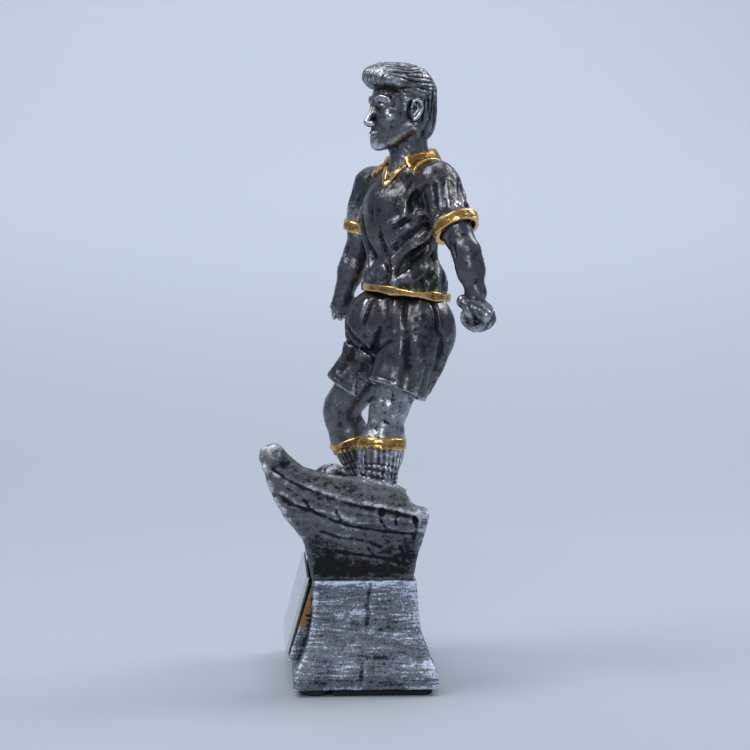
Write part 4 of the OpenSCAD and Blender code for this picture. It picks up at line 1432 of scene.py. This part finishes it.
def ledge_cracks(clay, z0):
    """Short cracks and two chipped notches in the near face, and cracks round the other sides"""
    rng = np.random.default_rng(SEED)
    near_face = (1, 0, 0)
    for y, z, length, lean in ((3.5, 50.5, 6.5, 0.25), (8.5, 50, 4, -0.1), (13, 48.5, 5, 0.1),
                               (-8, 50.5, 3.5, 0.5), (-17, 53, 5, 0.9), (0, 41, 4.5, 0.6), (9, 40, 5, 0.3)):
        crack(clay, (20, y, z), (0, lean, -1), near_face, length, 0.3, rng)
    for y, z, radius in ((4.2, 49.8, 0.8), (13.2, 47.9, 0.8)):
        point = clay.skin([(20, y, z)], [near_face], 20)[0]
        clay.press(egg(point, (0.7, radius, radius * 1.7)), 0.5, carve=True)
    for number in range(14):
        x = rng.uniform(-27, 24)
        face = (0, -1, 0) if number % 2 else (0, 1, 0)
        crack(clay, (x, 0, z0 + rng.uniform(8, 14)), (rng.uniform(-0.6, 0.6), 0, -1), face,
              rng.uniform(3, 6), 0.38, rng)
    for number in range(5):
        crack(clay, (-15, rng.uniform(-9, 9), z0 + rng.uniform(9, 14)), (0, rng.uniform(-0.5, 0.5), -1),
              (-1, 0, 0), rng.uniform(3, 6), 0.38, rng)


def plinth_mesh():
    """Flared plinth of masonry: worn blocks, open joints and brush-rough faces"""
    clay = Clay(PED_LOW - [1.2, 1.2, 1.2], PED_HIGH + [1.2, 1.2, 1.2], 0.38)
    _, x, y, z = clay.everywhere()
    rise = z - PED_LOW[2]
    half_x = (PED_HIGH[0] - PED_LOW[0]) / 2
    half_y = PED_HIGH[1]
    sweep = on_curve(PLINTH_SWEEP, rise)
    worn = 0.25 * noise(x, y, z, 9.0, 91)
    dx = np.abs(x) - (half_x - sweep) + worn
    dy = np.abs(y) - (half_y - sweep) + worn
    d = soft_max(dx, dy, 1.1)
    d = soft_max(d, z - PED_HIGH[2], 0.7)
    d = soft_max(d, PED_LOW[2] - z, 0.9)
    clay.field = d.astype(np.float32)
    # the raised panel that carries the nameplate
    plate_low, plate_high = cad_box("nameplate")
    tilt = math.atan2(plate_high[1] - plate_low[1], plate_high[2] - plate_low[2])
    foot = np.array([0, PED_LOW[1] + 0.05, PED_LOW[2] + PANEL_FOOT])
    outward = np.array([0, -math.cos(tilt), math.sin(tilt)])
    clay.press(panel_block(foot, outward, PED_HIGH[2]), 0.5)
    plinth_joints(clay)
    clay.roughen(0.1, 1.6, seed=92)
    clay.roughen(0.08, 0.8, seed=93)
    clay.keep(screw_recess, 0.15)
    clay.keep(half_space((0, 0, PED_LOW[2] + 0.03), (0, 0, -1)), 0.15)
    mesh = clay.mesh("pedestal")
    gild(mesh, foot, outward)
    return mesh


def gild(mesh, foot, outward):
    """Marks the gilding along the middle of the panel's side edges"""
    count = len(mesh.vertices)
    at = np.empty(count * 3, np.float32)
    mesh.vertices.foreach_get("co", at)
    x, y, z = (at.reshape(-1, 3) / MM).T
    depth = -along(x, y, z, foot, outward)
    high = z - foot[2]
    out = np.abs(x) - PANEL_HALF
    side = smooth_step(-0.8, -0.2, out) * (1 - smooth_step(0.2, 0.6, out))
    upper = smooth_step(7, 9, high) * (1 - smooth_step(17, 19, high))
    patch = side * (1 - smooth_step(1.6, 2.6, depth)) * upper
    mark(mesh, "gilt", patch)


def panel_block(foot, outward, top):
    """Wedge whose sloping face lies on the nameplate's plane"""
    def distance(x, y, z):
        d = np.maximum(np.abs(x) - PANEL_HALF, along(x, y, z, foot, outward))
        d = np.maximum(d, np.maximum(z - top, foot[2] - 1.2 - z))
        return np.maximum(d, y)

    low = np.array([-PANEL_HALF, foot[1] - 1, foot[2] - 1.5])
    high = np.array([PANEL_HALF, 0.0, top])
    return low, high, distance


def screw_recess(x, y, z):
    """Positive in the clamp screw's hole and in the wider recess below its washer"""
    washer_high = cad_box("washer")[1]
    radius = np.sqrt(x * x + y * y)
    recess = np.maximum(radius - (washer_high[0] + 1.0), z - washer_high[2])
    hole = radius - 2.75
    return -np.minimum(recess, hole)


def plinth_joints(clay):
    """Open joints between worn blocks: one level joint and upright ones above and below it"""
    rng = np.random.default_rng(SEED + 1)
    base = PED_LOW[2]
    height = PED_HIGH[2] - base
    for face, reach in (((1, 0, 0), 13.5), ((-1, 0, 0), 13.5), ((0, 1, 0), 29)):
        across = np.array([abs(face[1]), abs(face[0]), 0], float)
        spots = np.arange(1.5 if face[0] > 0 else -reach, reach, 1.5)
        rows = [across * s + [0, 0, base + 0.62 * height + rng.uniform(-0.3, 0.3)] for s in spots]
        points = clay.skin(rows, [face] * len(rows), 45)
        radii = rng.uniform(0.12, 0.3, len(rows))
        clay.strand(np.column_stack([points, radii]), 0.35, carve=True, pieces=1)
        for column in [1.5] if face[0] else [-18, -4, 9, 22]:
            start = across * column + [0, 0, base + height - 0.5]
            crack(clay, start, across * -0.12 + [0, 0, -1], face, height * 0.5, 0.6, rng)
            start = across * (column - 2.5) + [0, 0, base + 0.26 * height]
            crack(clay, start, across * -0.08 + [0, 0, -1], face, height * 0.24, 0.52, rng)
    # short cracks anywhere on the ends and the rear
    for number in range(12):
        face = ((1, 0, 0), (0, 1, 0), (-1, 0, 0))[number % 3]
        across = np.array([abs(face[1]), abs(face[0]), 0], float)
        start = across * rng.uniform(-10, 10) + [0, 0, base + rng.uniform(6, 26)]
        crack(clay, start, across * rng.uniform(-1, 1) + [0, 0, -0.5], face, rng.uniform(2, 4), 0.25, rng)


# ---------- pieces made as meshes ----------

def finished(bm, name, turn_faces=True):
    """The mesh of a bmesh, with its faces turned outwards unless told not to"""
    if turn_faces:
        bmesh.ops.recalc_face_normals(bm, faces=bm.faces)
    mesh = bpy.data.meshes.new(name)
    bm.to_mesh(mesh)
    bm.free()
    return mesh


def skin_rings(bm, rings):
    """Faces between neighbouring rings of vertices, and a cap at each end"""
    for a, b in zip(rings, rings[1:]):
        for n in range(len(a)):
            m = (n + 1) % len(a)
            bm.faces.new((a[n], a[m], b[m], b[n]))
    bm.faces.new(rings[0][::-1])
    bm.faces.new(rings[-1])


def nameplate_mesh():
    """Blank sloping plate with a rounded edge and a fine sunk border line"""
    low, high = cad_box("nameplate")
    thick = 0.8
    tilt = math.atan2(high[1] - low[1] - thick, high[2] - low[2])
    up = np.array([0, math.sin(tilt), math.cos(tilt)])
    out = np.array([0, -math.cos(tilt), math.sin(tilt)])
    length = math.hypot(high[1] - low[1] - thick, high[2] - low[2] - 0.2)
    width = high[0] - low[0]
    foot = np.array([0, low[1] + thick * math.cos(tilt), low[2]])
    bm = bmesh.new()

    def ring(inset, depth):
        return [bm.verts.new(Vector(foot + np.array([s * (width / 2 - inset), 0, 0])
                                    + up * (inset if e == 0 else length - inset) + out * depth) * MM)
                for s, e in ((-1, 0), (1, 0), (1, 1), (-1, 1))]

    # rounded edge, then the border line sunk into the face
    steps = [(0.1, 0.0), (0, 0.12), (0, thick - 0.18), (0.06, thick - 0.05), (0.18, thick),
             (1.3, thick), (1.4, thick - 0.18), (1.7, thick - 0.18), (1.8, thick)]
    skin_rings(bm, [ring(inset, depth) for inset, depth in steps])
    return finished(bm, "nameplate")


def felt_mesh():
    """The felt sheet: the CAD sheet's outline, with soft rounded edges"""
    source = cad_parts["base_felt"].data
    bm = bmesh.new()
    bm.from_mesh(source)
    bmesh.ops.remove_doubles(bm, verts=bm.verts, dist=1e-6)
    bmesh.ops.dissolve_limit(bm, angle_limit=math.radians(2), verts=bm.verts, edges=bm.edges)
    sharp = [e for e in bm.edges if len(e.link_faces) == 2 and e.calc_face_angle(0) > 0.6]
    bmesh.ops.bevel(bm, geom=sharp, offset=0.3 * MM, segments=2, affect="EDGES", profile=0.5)
    bmesh.ops.triangulate(bm, faces=bm.faces)
    return finished(bm, "base_felt", turn_faces=False)


def bumpers_mesh():
    """The two front bumpers: low rubber discs with a rounded lower edge"""
    low, high = cad_box("front_bumpers")
    radius = (high[1] - low[1]) / 2
    profile = [(radius - 0.35, 0), (radius - 0.12, 0.08), (radius, 0.3),
               (radius, high[2] - 0.25), (radius - 0.2, high[2])]
    angles = [math.tau * n / 48 for n in range(48)]
    bm = bmesh.new()
    y = low[1] + radius
    for x in (low[0] + radius, high[0] - radius):
        rings = [[bm.verts.new(Vector((x + r * math.cos(a), y + r * math.sin(a), z)) * MM) for a in angles]
                 for r, z in profile]
        skin_rings(bm, rings)
    mesh = finished(bm, "front_bumpers")
    mesh.shade_smooth()
    return mesh


# ---------- geometry nodes ----------

class Tree:
    """A geometry node tree with short calls for building it"""

    def __init__(self, name):
        self.group = bpy.data.node_groups.new(name, "GeometryNodeTree")
        self.group.interface.new_socket("Geometry", in_out="INPUT", socket_type="NodeSocketGeometry")
        self.group.interface.new_socket("Geometry", in_out="OUTPUT", socket_type="NodeSocketGeometry")
        self.start = self.group.nodes.new("NodeGroupInput")
        self.end = self.group.nodes.new("NodeGroupOutput")

    def number(self, name, default, kind="NodeSocketFloat"):
        socket = self.group.interface.new_socket(name, in_out="INPUT", socket_type=kind)
        socket.default_value = default
        return socket.identifier

    def add(self, kind, **settings):
        node = self.group.nodes.new(kind)
        for key, value in settings.items():
            setattr(node, key, value)
        return node

    def link(self, a, b):
        self.group.links.new(a, b)

    def finish(self, geometry, slot):
        realize = self.add("GeometryNodeRealizeInstances")
        paint = self.add("GeometryNodeSetMaterial")
        paint.inputs["Material"].default_value = material(slot)
        self.link(geometry, realize.inputs[0])
        self.link(realize.outputs[0], paint.inputs[0])
        self.link(paint.outputs[0], self.end.inputs[0])


def baked(name, mesh, group, values):
    """Runs a tree on a mesh and returns the plain mesh it makes"""
    holder = bpy.data.objects.new(name + "_source", mesh)
    bpy.context.scene.collection.objects.link(holder)
    modifier = holder.modifiers.new("Build", "NODES")
    modifier.node_group = group
    for identifier, value in values.items():
        modifier[identifier] = value
    bpy.context.view_layer.update()
    depsgraph = bpy.context.evaluated_depsgraph_get()
    result = bpy.data.meshes.new_from_object(holder.evaluated_get(depsgraph))
    result.name = name
    bpy.data.objects.remove(holder)
    return result


def crumbs_tree():
    """Small stones scattered over faces, turned and scaled at random"""
    tree = Tree("Crumbs")
    keys = {
        "density": tree.number("Stones per square metre", 60000.0),
        "size": tree.number("Largest stone radius", 0.0009),
        "seed": tree.number("Seed", SEED, "NodeSocketInt"),
    }
    inputs = tree.start.outputs
    scatter = tree.add("GeometryNodeDistributePointsOnFaces")
    tree.link(inputs["Geometry"], scatter.inputs["Mesh"])
    tree.link(inputs["Stones per square metre"], scatter.inputs["Density"])
    tree.link(inputs["Seed"], scatter.inputs["Seed"])
    stone = tree.add("GeometryNodeMeshIcoSphere")
    stone.inputs["Radius"].default_value = 1.0
    stone.inputs["Subdivisions"].default_value = 2
    spin = tree.add("FunctionNodeRandomValue", data_type="FLOAT_VECTOR")
    spin.inputs["Max"].default_value = (math.tau, math.tau, math.tau)
    spread = tree.add("FunctionNodeRandomValue", data_type="FLOAT_VECTOR")
    spread.inputs["Min"].default_value = (0.35, 0.35, 0.25)
    spread.inputs["Max"].default_value = (1.0, 1.0, 0.7)
    scale = tree.add("ShaderNodeVectorMath", operation="SCALE")
    tree.link(spread.outputs[0], scale.inputs[0])
    tree.link(inputs["Largest stone radius"], scale.inputs["Scale"])
    place_stones = tree.add("GeometryNodeInstanceOnPoints")
    tree.link(scatter.outputs["Points"], place_stones.inputs["Points"])
    tree.link(stone.outputs["Mesh"], place_stones.inputs["Instance"])
    tree.link(spin.outputs[0], place_stones.inputs["Rotation"])
    tree.link(scale.outputs[0], place_stones.inputs["Scale"])
    tree.finish(place_stones.outputs[0], "ledge_silver")
    return tree.group, keys


def stitch_tree():
    """Short raised stitches along every edge of a wire mesh"""
    tree = Tree("Stitches")
    keys = {
        "spacing": tree.number("Stitch spacing", 0.0005),
        "size": tree.number("Stitch radius", 0.00011),
    }
    inputs = tree.start.outputs
    wires = tree.add("GeometryNodeMeshToCurve")
    tree.link(inputs["Geometry"], wires.inputs["Mesh"])
    points = tree.add("GeometryNodeCurveToPoints", mode="LENGTH")
    tree.link(wires.outputs[0], points.inputs["Curve"])
    tree.link(inputs["Stitch spacing"], points.inputs["Length"])
    stitch = tree.add("GeometryNodeMeshUVSphere")
    stitch.inputs["Segments"].default_value = 8
    stitch.inputs["Rings"].default_value = 5
    stitch.inputs["Radius"].default_value = 1.0
    shape = tree.add("ShaderNodeVectorMath", operation="SCALE")
    shape.inputs[0].default_value = (2.2, 1.0, 1.0)
    tree.link(inputs["Stitch radius"], shape.inputs["Scale"])
    place_stitches = tree.add("GeometryNodeInstanceOnPoints")
    tree.link(points.outputs["Points"], place_stitches.inputs["Points"])
    tree.link(stitch.outputs["Mesh"], place_stitches.inputs["Instance"])
    tree.link(points.outputs["Rotation"], place_stitches.inputs["Rotation"])
    tree.link(shape.outputs[0], place_stitches.inputs["Scale"])
    tree.finish(place_stitches.outputs[0], RESIN)
    return tree.group, keys


def ball_frame(center, radius):
    """Corners and edges of a truncated icosahedron, the football's seams"""
    golden = (1 + math.sqrt(5)) / 2
    tips = []
    for a in (-1, 1):
        for b in (-golden, golden):
            tips += [(0, a, b), (a, b, 0), (b, 0, a)]
    tips = np.array([unit(t) for t in tips])
    pairs = [(i, j) for i in range(12) for j in range(12)
             if i != j and np.linalg.norm(tips[i] - tips[j]) < 1.2]
    corner = {(i, j): unit(tips[i] * 2 + tips[j]) for i, j in pairs}
    edges = []
    for i, j in pairs:
        if i < j:
            edges.append((corner[i, j], corner[j, i]))
        for k in range(12):
            if j < k and (i, k) in corner and (j, k) in corner:
                edges.append((corner[i, j], corner[i, k]))
    tilt = turn_matrix(0.5, 0.35, 0.2)
    return [(center + radius * (tilt @ a), center + radius * (tilt @ b)) for a, b in edges]


def arc(a, b, center, radius, count=5):
    """Points from a to b along the ball's surface"""
    return [center + radius * unit((a - center) * (1 - t) + (b - center) * t)
            for t in np.linspace(0, 1, count)]


def football_meshes():
    low, high = cad_box("football")
    radius = (high[0] - low[0]) / 2
    center = np.array([(low[0] + high[0]) / 2, (low[1] + high[1]) / 2, high[2] - radius])
    clay = Clay(low - 1, high + 1, 0.16)
    clay.press(egg(center, radius), 0.2)
    edges = ball_frame(center, radius)
    for a, b in edges:
        rows = [(*p, 0.26) for p in arc(a, b, center, radius + 0.02)]
        clay.strand(rows, 0.35, carve=True, pieces=1)
    clay.roughen(0.06, 1.2, seed=101)
    clay.keep(half_space((0, 0, FLOOR + 0.02), (0, 0, -1)), 0.1)
    verts, wires = [], []
    for a, b in edges:
        points = arc(a, b, center, radius - 0.16)
        first = len(verts)
        verts += [tuple(p * MM) for p in points if p[2] > FLOOR + 0.6]
        wires += [(n, n + 1) for n in range(first, len(verts) - 1)]
    net = bpy.data.meshes.new("seam_net")
    net.from_pydata(verts, wires, [])
    group, keys = stitch_tree()
    stitches = baked("football_stitches", net, group, {keys["spacing"]: 0.0006, keys["size"]: 0.00012})
    return clay.mesh("football"), stitches


def crumb_mesh():
    """Loose stones and turf crumbs on the ledge's floor, clear of the boots and the ball"""
    bm = bmesh.new()
    step = 2.0
    boots = [leg.ankle[:2] for leg in LEGS]
    ball_low, ball_high = cad_box("football")
    ball = (ball_low[:2] + ball_high[:2]) / 2
    for x in np.arange(-30, 22, step):
        for y in np.arange(-15, 13, step):
            middle = np.array([x + step / 2, y + step / 2])
            clear = min(np.linalg.norm(middle - b) for b in boots) > 4.5
            if clear and np.linalg.norm(middle - ball) > 6.8:
                corners = ((x, y), (x + step, y), (x + step, y + step), (x, y + step))
                bm.faces.new([bm.verts.new(Vector((cx, cy, FLOOR + 0.15)) * MM) for cx, cy in corners])
    patch = finished(bm, "crumb_patch", turn_faces=False)
    group, keys = crumbs_tree()
    look = bpy.context.scene.trophy_look
    values = {keys["density"]: 250000.0, keys["size"]: look.stone_size, keys["seed"]: SEED}
    return baked("ground_crumbs", patch, group, values)


# ---------- camera and stage ----------

def add_to_stage(name, data):
    """Puts a camera, lamp or backdrop in the scene"""
    thing = bpy.data.objects.new(name, data)
    bpy.context.scene.collection.objects.link(thing)
    return thing


def camera():
    """A long lens from far off, so that the trophy hardly tapers"""
    scene = bpy.context.scene
    look = scene.trophy_look
    low, high = [np.array(v) / MM for v in cad_bounds]
    target = np.array([0, (low[1] + high[1]) / 2, 0.491 * high[2]])
    azimuth, elevation = math.radians(look.view_side), math.radians(look.view_height)
    back = np.array([math.sin(azimuth) * math.cos(elevation), -math.cos(azimuth) * math.cos(elevation),
                     math.sin(elevation)])
    distance = 621.6
    viewer = add_to_stage("camera", bpy.data.cameras.new("camera"))
    viewer.location = Vector((target + back * distance) * MM)
    viewer.rotation_euler = Vector(-back).to_track_quat("-Z", "Y").to_euler()
    viewer.data.lens = 105.6
    viewer.data.sensor_width = 36
    viewer.data.clip_start = 0.01
    scene.camera = viewer


def backdrop():
    """A pale floor that sweeps up behind the trophy"""
    bm = bmesh.new()
    curve = [(5.0, 0.0), (-0.35, 0.0)]
    curve += [(-0.35 - 0.5 * math.sin(a), 0.5 - 0.5 * math.cos(a))
              for a in np.linspace(0.08, math.pi / 2, 22)]
    curve += [(-0.85, 2.2)]
    rows = [[bm.verts.new((x, y, z - 0.0002)) for y in np.linspace(-5, 5, 3)] for x, z in curve]
    for a, b in zip(rows, rows[1:]):
        for n in range(2):
            bm.faces.new((a[n], a[n + 1], b[n + 1], b[n]))
    mesh = finished(bm, "backdrop")
    mesh.shade_smooth()
    sheet = add_to_stage("backdrop", mesh)
    n = Nodes("backdrop_paper")
    # painted light: a ramp by height makes the floor darker and the wall lighter, standing in for how the
    # lamps fall on them
    paper_with_painted_light = n.mix(n.ramp(n.height(), 0.0, 0.16), (0.42, 0.46, 0.525), (0.545, 0.585, 0.68))
    n.set("Base Color", n.mix(n.math("MULTIPLY", n.noise(3, 2, 0.5), 0.1), paper_with_painted_light, (0.7, 0.72, 0.75)))
    n.set("Roughness", 0.75)
    mesh.materials.append(n.material)


def lamps():
    """Soft lamps: name, place and size in metres, strength and colour"""
    lights = (
        ("key", (0.15, -0.45, 0.75), 0.4, 2.6, (1.0, 0.985, 0.96)),
        ("fill", (0.75, -0.1, 0.5), 0.22, 1.3, (0.95, 0.97, 1.0)),
        ("rim", (-0.2, 0.5, 0.6), 0.35, 1.8, (1.0, 1.0, 1.0)),
        ("wall", (-0.3, 0.0, 1.1), 0.7, 5.6, (0.93, 0.96, 1.0)),
    )
    for name, where, size, power, colour in lights:
        data = bpy.data.lights.new(name, "AREA")
        data.size = size
        data.energy = power * bpy.context.scene.trophy_look.light_power
        data.color = colour
        lamp = add_to_stage(name, data)
        lamp.location = where
        target = (-0.7, 0, 0.25) if name == "wall" else (0, 0, 0.09)
        aim = Vector(target) - Vector(where)
        lamp.rotation_euler = aim.to_track_quat("-Z", "Y").to_euler()


def daylight():
    """Even, slightly blue light from all round"""
    scene = bpy.context.scene
    world = bpy.data.worlds.new("studio")
    world.use_nodes = True
    sky = world.node_tree.nodes["Background"]
    sky.inputs["Color"].default_value = (0.80, 0.87, 1.0, 1)
    sky.inputs["Strength"].default_value = 0.36
    scene.world = world
    scene.view_settings.view_transform = "Standard"


# ---------- add-on ----------

class TrophyLook(bpy.types.PropertyGroup):
    """Colours and sizes a user may change"""
    silver: bpy.props.FloatVectorProperty(
        name="Silver", description="Antique silver paint", subtype="COLOR", size=3,
        default=(0.16, 0.167, 0.184), min=0, max=1)
    gold: bpy.props.FloatVectorProperty(
        name="Gold", description="Antique gold paint on the trim", subtype="COLOR", size=3,
        default=(0.36, 0.175, 0.04), min=0, max=1)
    polish: bpy.props.FloatProperty(
        name="Roughness", description="Roughness of the metallic paint", subtype="FACTOR",
        default=0.3, min=0.1, max=0.9)
    stone_size: bpy.props.FloatProperty(
        name="Stone size", description="Largest loose stone on the ledge", unit="LENGTH",
        default=0.0008, min=0.0002, max=0.002)
    view_side: bpy.props.FloatProperty(
        name="View side", description="Camera's angle round the trophy, in degrees", default=87.06)
    view_height: bpy.props.FloatProperty(
        name="View height", description="Camera's angle above level, in degrees", default=3.38)
    light_power: bpy.props.FloatProperty(
        name="Light", description="Strength of the studio lamps", default=1.0, min=0, max=10)


class TROPHY_OT_stage(bpy.types.Operator):
    """Camera, backdrop and lamps"""
    bl_idname = "trophy.stage"
    bl_label = "Stage"

    def execute(self, context):
        camera()
        backdrop()
        lamps()
        daylight()
        return {"FINISHED"}


class TROPHY_OT_head(bpy.types.Operator):
    """Head with its hair and face"""
    bl_idname = "trophy.head"
    bl_label = "Head"

    def execute(self, context):
        place(head_mesh(), "player_head", ["head"], RESIN)
        return {"FINISHED"}


class TROPHY_OT_clothes(bpy.types.Operator):
    """Shirt with its collar, and shorts"""
    bl_idname = "trophy.clothes"
    bl_label = "Shirt and shorts"

    def execute(self, context):
        shirt = shirt_clay()
        place(shirt.mesh("torso"), "player_shirt", ["torso"], RESIN, "cloth_silver")
        place(collar_mesh(shirt), "gold_collar", ["collar"], "gold_paint")
        place(shorts_mesh(), "player_shorts", ["shorts"], RESIN, "cloth_silver")
        return {"FINISHED"}


class TROPHY_OT_trim(bpy.types.Operator):
    """Gold cuffs and belt"""
    bl_idname = "trophy.trim"
    bl_label = "Gold trim"

    def execute(self, context):
        place(cuff_mesh("left_cuff", LEFT_ARM), "gold_cuff_left", ["left_cuff"], "gold_paint")
        place(cuff_mesh("right_cuff", RIGHT_ARM), "gold_cuff_right", ["right_cuff"], "gold_paint")
        place(belt_mesh(), "gold_belt", ["belt"], "gold_paint")
        return {"FINISHED"}


class TROPHY_OT_limbs(bpy.types.Operator):
    """Arms, legs with their gold bands, and boots"""
    bl_idname = "trophy.limbs"
    bl_label = "Arms and legs"

    def execute(self, context):
        place(left_arm_mesh(), "player_arm_left", ["left_arm"], RESIN, "arm_silver")
        place(right_arm_mesh(), "player_arm_right", ["right_arm"], RESIN, "arm_silver")
        # the near leg gets the brighter look, a painted highlight; the far leg keeps the plain silver
        for name, leg, look in (("left", LEFT_LEG, "leg_silver"), ("right", RIGHT_LEG, RESIN)):
            sock = leg_clay(name + "_leg", leg)
            place(sock.mesh(name + "_leg"), "player_leg_" + name, [name + "_leg"], RESIN, look)
            band = band_mesh(name + "_sock_band", sock, leg)
            place(band, "gold_sock_" + name, [name + "_sock_band"], "gold_paint")
        for name, leg in (("left", LEFT_LEG), ("right", RIGHT_LEG)):
            place(boot_mesh(name + "_boot", leg), "player_boot_" + name, [name + "_boot"], RESIN)
        return {"FINISHED"}


class TROPHY_OT_football(bpy.types.Operator):
    """Football with panels and stitched seams"""
    bl_idname = "trophy.football"
    bl_label = "Football"

    def execute(self, context):
        ball, stitches = football_meshes()
        place(ball, "football_body", ["football"], RESIN)
        add_extra(stitches, "football_stitches")
        return {"FINISHED"}


class TROPHY_OT_base(bpy.types.Operator):
    """Rock ledge, plinth and loose stones"""
    bl_idname = "trophy.base"
    bl_label = "Ledge and plinth"

    def execute(self, context):
        place(ledge_mesh(), "rock_ledge", ["deck"], RESIN, "ledge_silver")
        place(plinth_mesh(), "masonry_plinth", ["pedestal"], RESIN, "plinth_silver")
        add_extra(crumb_mesh(), "ground_stones")
        return {"FINISHED"}


class TROPHY_OT_plate(bpy.types.Operator):
    """Nameplate, felt, bumpers and the fixings inside"""
    bl_idname = "trophy.plate"
    bl_label = "Plate and fittings"

    def execute(self, context):
        place(nameplate_mesh(), "blank_nameplate", ["nameplate"], "bright_plate")
        place(felt_mesh(), "felt_sheet", ["base_felt"], "felt")
        place(bumpers_mesh(), "rubber_bumpers", ["front_bumpers"], "bumper_rubber")
        carried = {"nameplate_tape": "adhesive", "clamp_screw": "steel", "washer": "steel",
                   "threaded_insert": "brass", "foot_rods": "steel", "ball_pin": "steel"}
        for node, slot in carried.items():
            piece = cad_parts[node]
            piece.data.materials.clear()
            piece.data.materials.append(material(slot))
        return {"FINISHED"}


class TROPHY_PT_panel(bpy.types.Panel):
    """Lists the trophy's pieces and looks"""
    bl_idname = "TROPHY_PT_panel"
    bl_label = "Figure trophy"
    bl_space_type = "VIEW_3D"
    bl_region_type = "UI"
    bl_category = "Trophy"

    def draw(self, context):
        for step in STEPS:
            self.layout.operator(step.bl_idname)
        look = context.scene.trophy_look
        for name in ("silver", "gold", "polish", "stone_size", "view_side", "view_height", "light_power"):
            self.layout.prop(look, name)


STEPS = (TROPHY_OT_stage, TROPHY_OT_head, TROPHY_OT_clothes, TROPHY_OT_trim, TROPHY_OT_limbs,
         TROPHY_OT_football, TROPHY_OT_base, TROPHY_OT_plate)
CLASSES = (TrophyLook, *STEPS, TROPHY_PT_panel)


def register():
    for each in CLASSES:
        bpy.utils.register_class(each)
    bpy.types.Scene.trophy_look = bpy.props.PointerProperty(type=TrophyLook)


def unregister():
    del bpy.types.Scene.trophy_look
    for each in reversed(CLASSES):
        bpy.utils.unregister_class(each)


def main():
    register()
    bpy.ops.trophy.stage()
    bpy.ops.trophy.head()
    bpy.ops.trophy.clothes()
    bpy.ops.trophy.trim()
    bpy.ops.trophy.limbs()
    bpy.ops.trophy.football()
    bpy.ops.trophy.base()
    bpy.ops.trophy.plate()


if __name__ == "__main__":
    main()
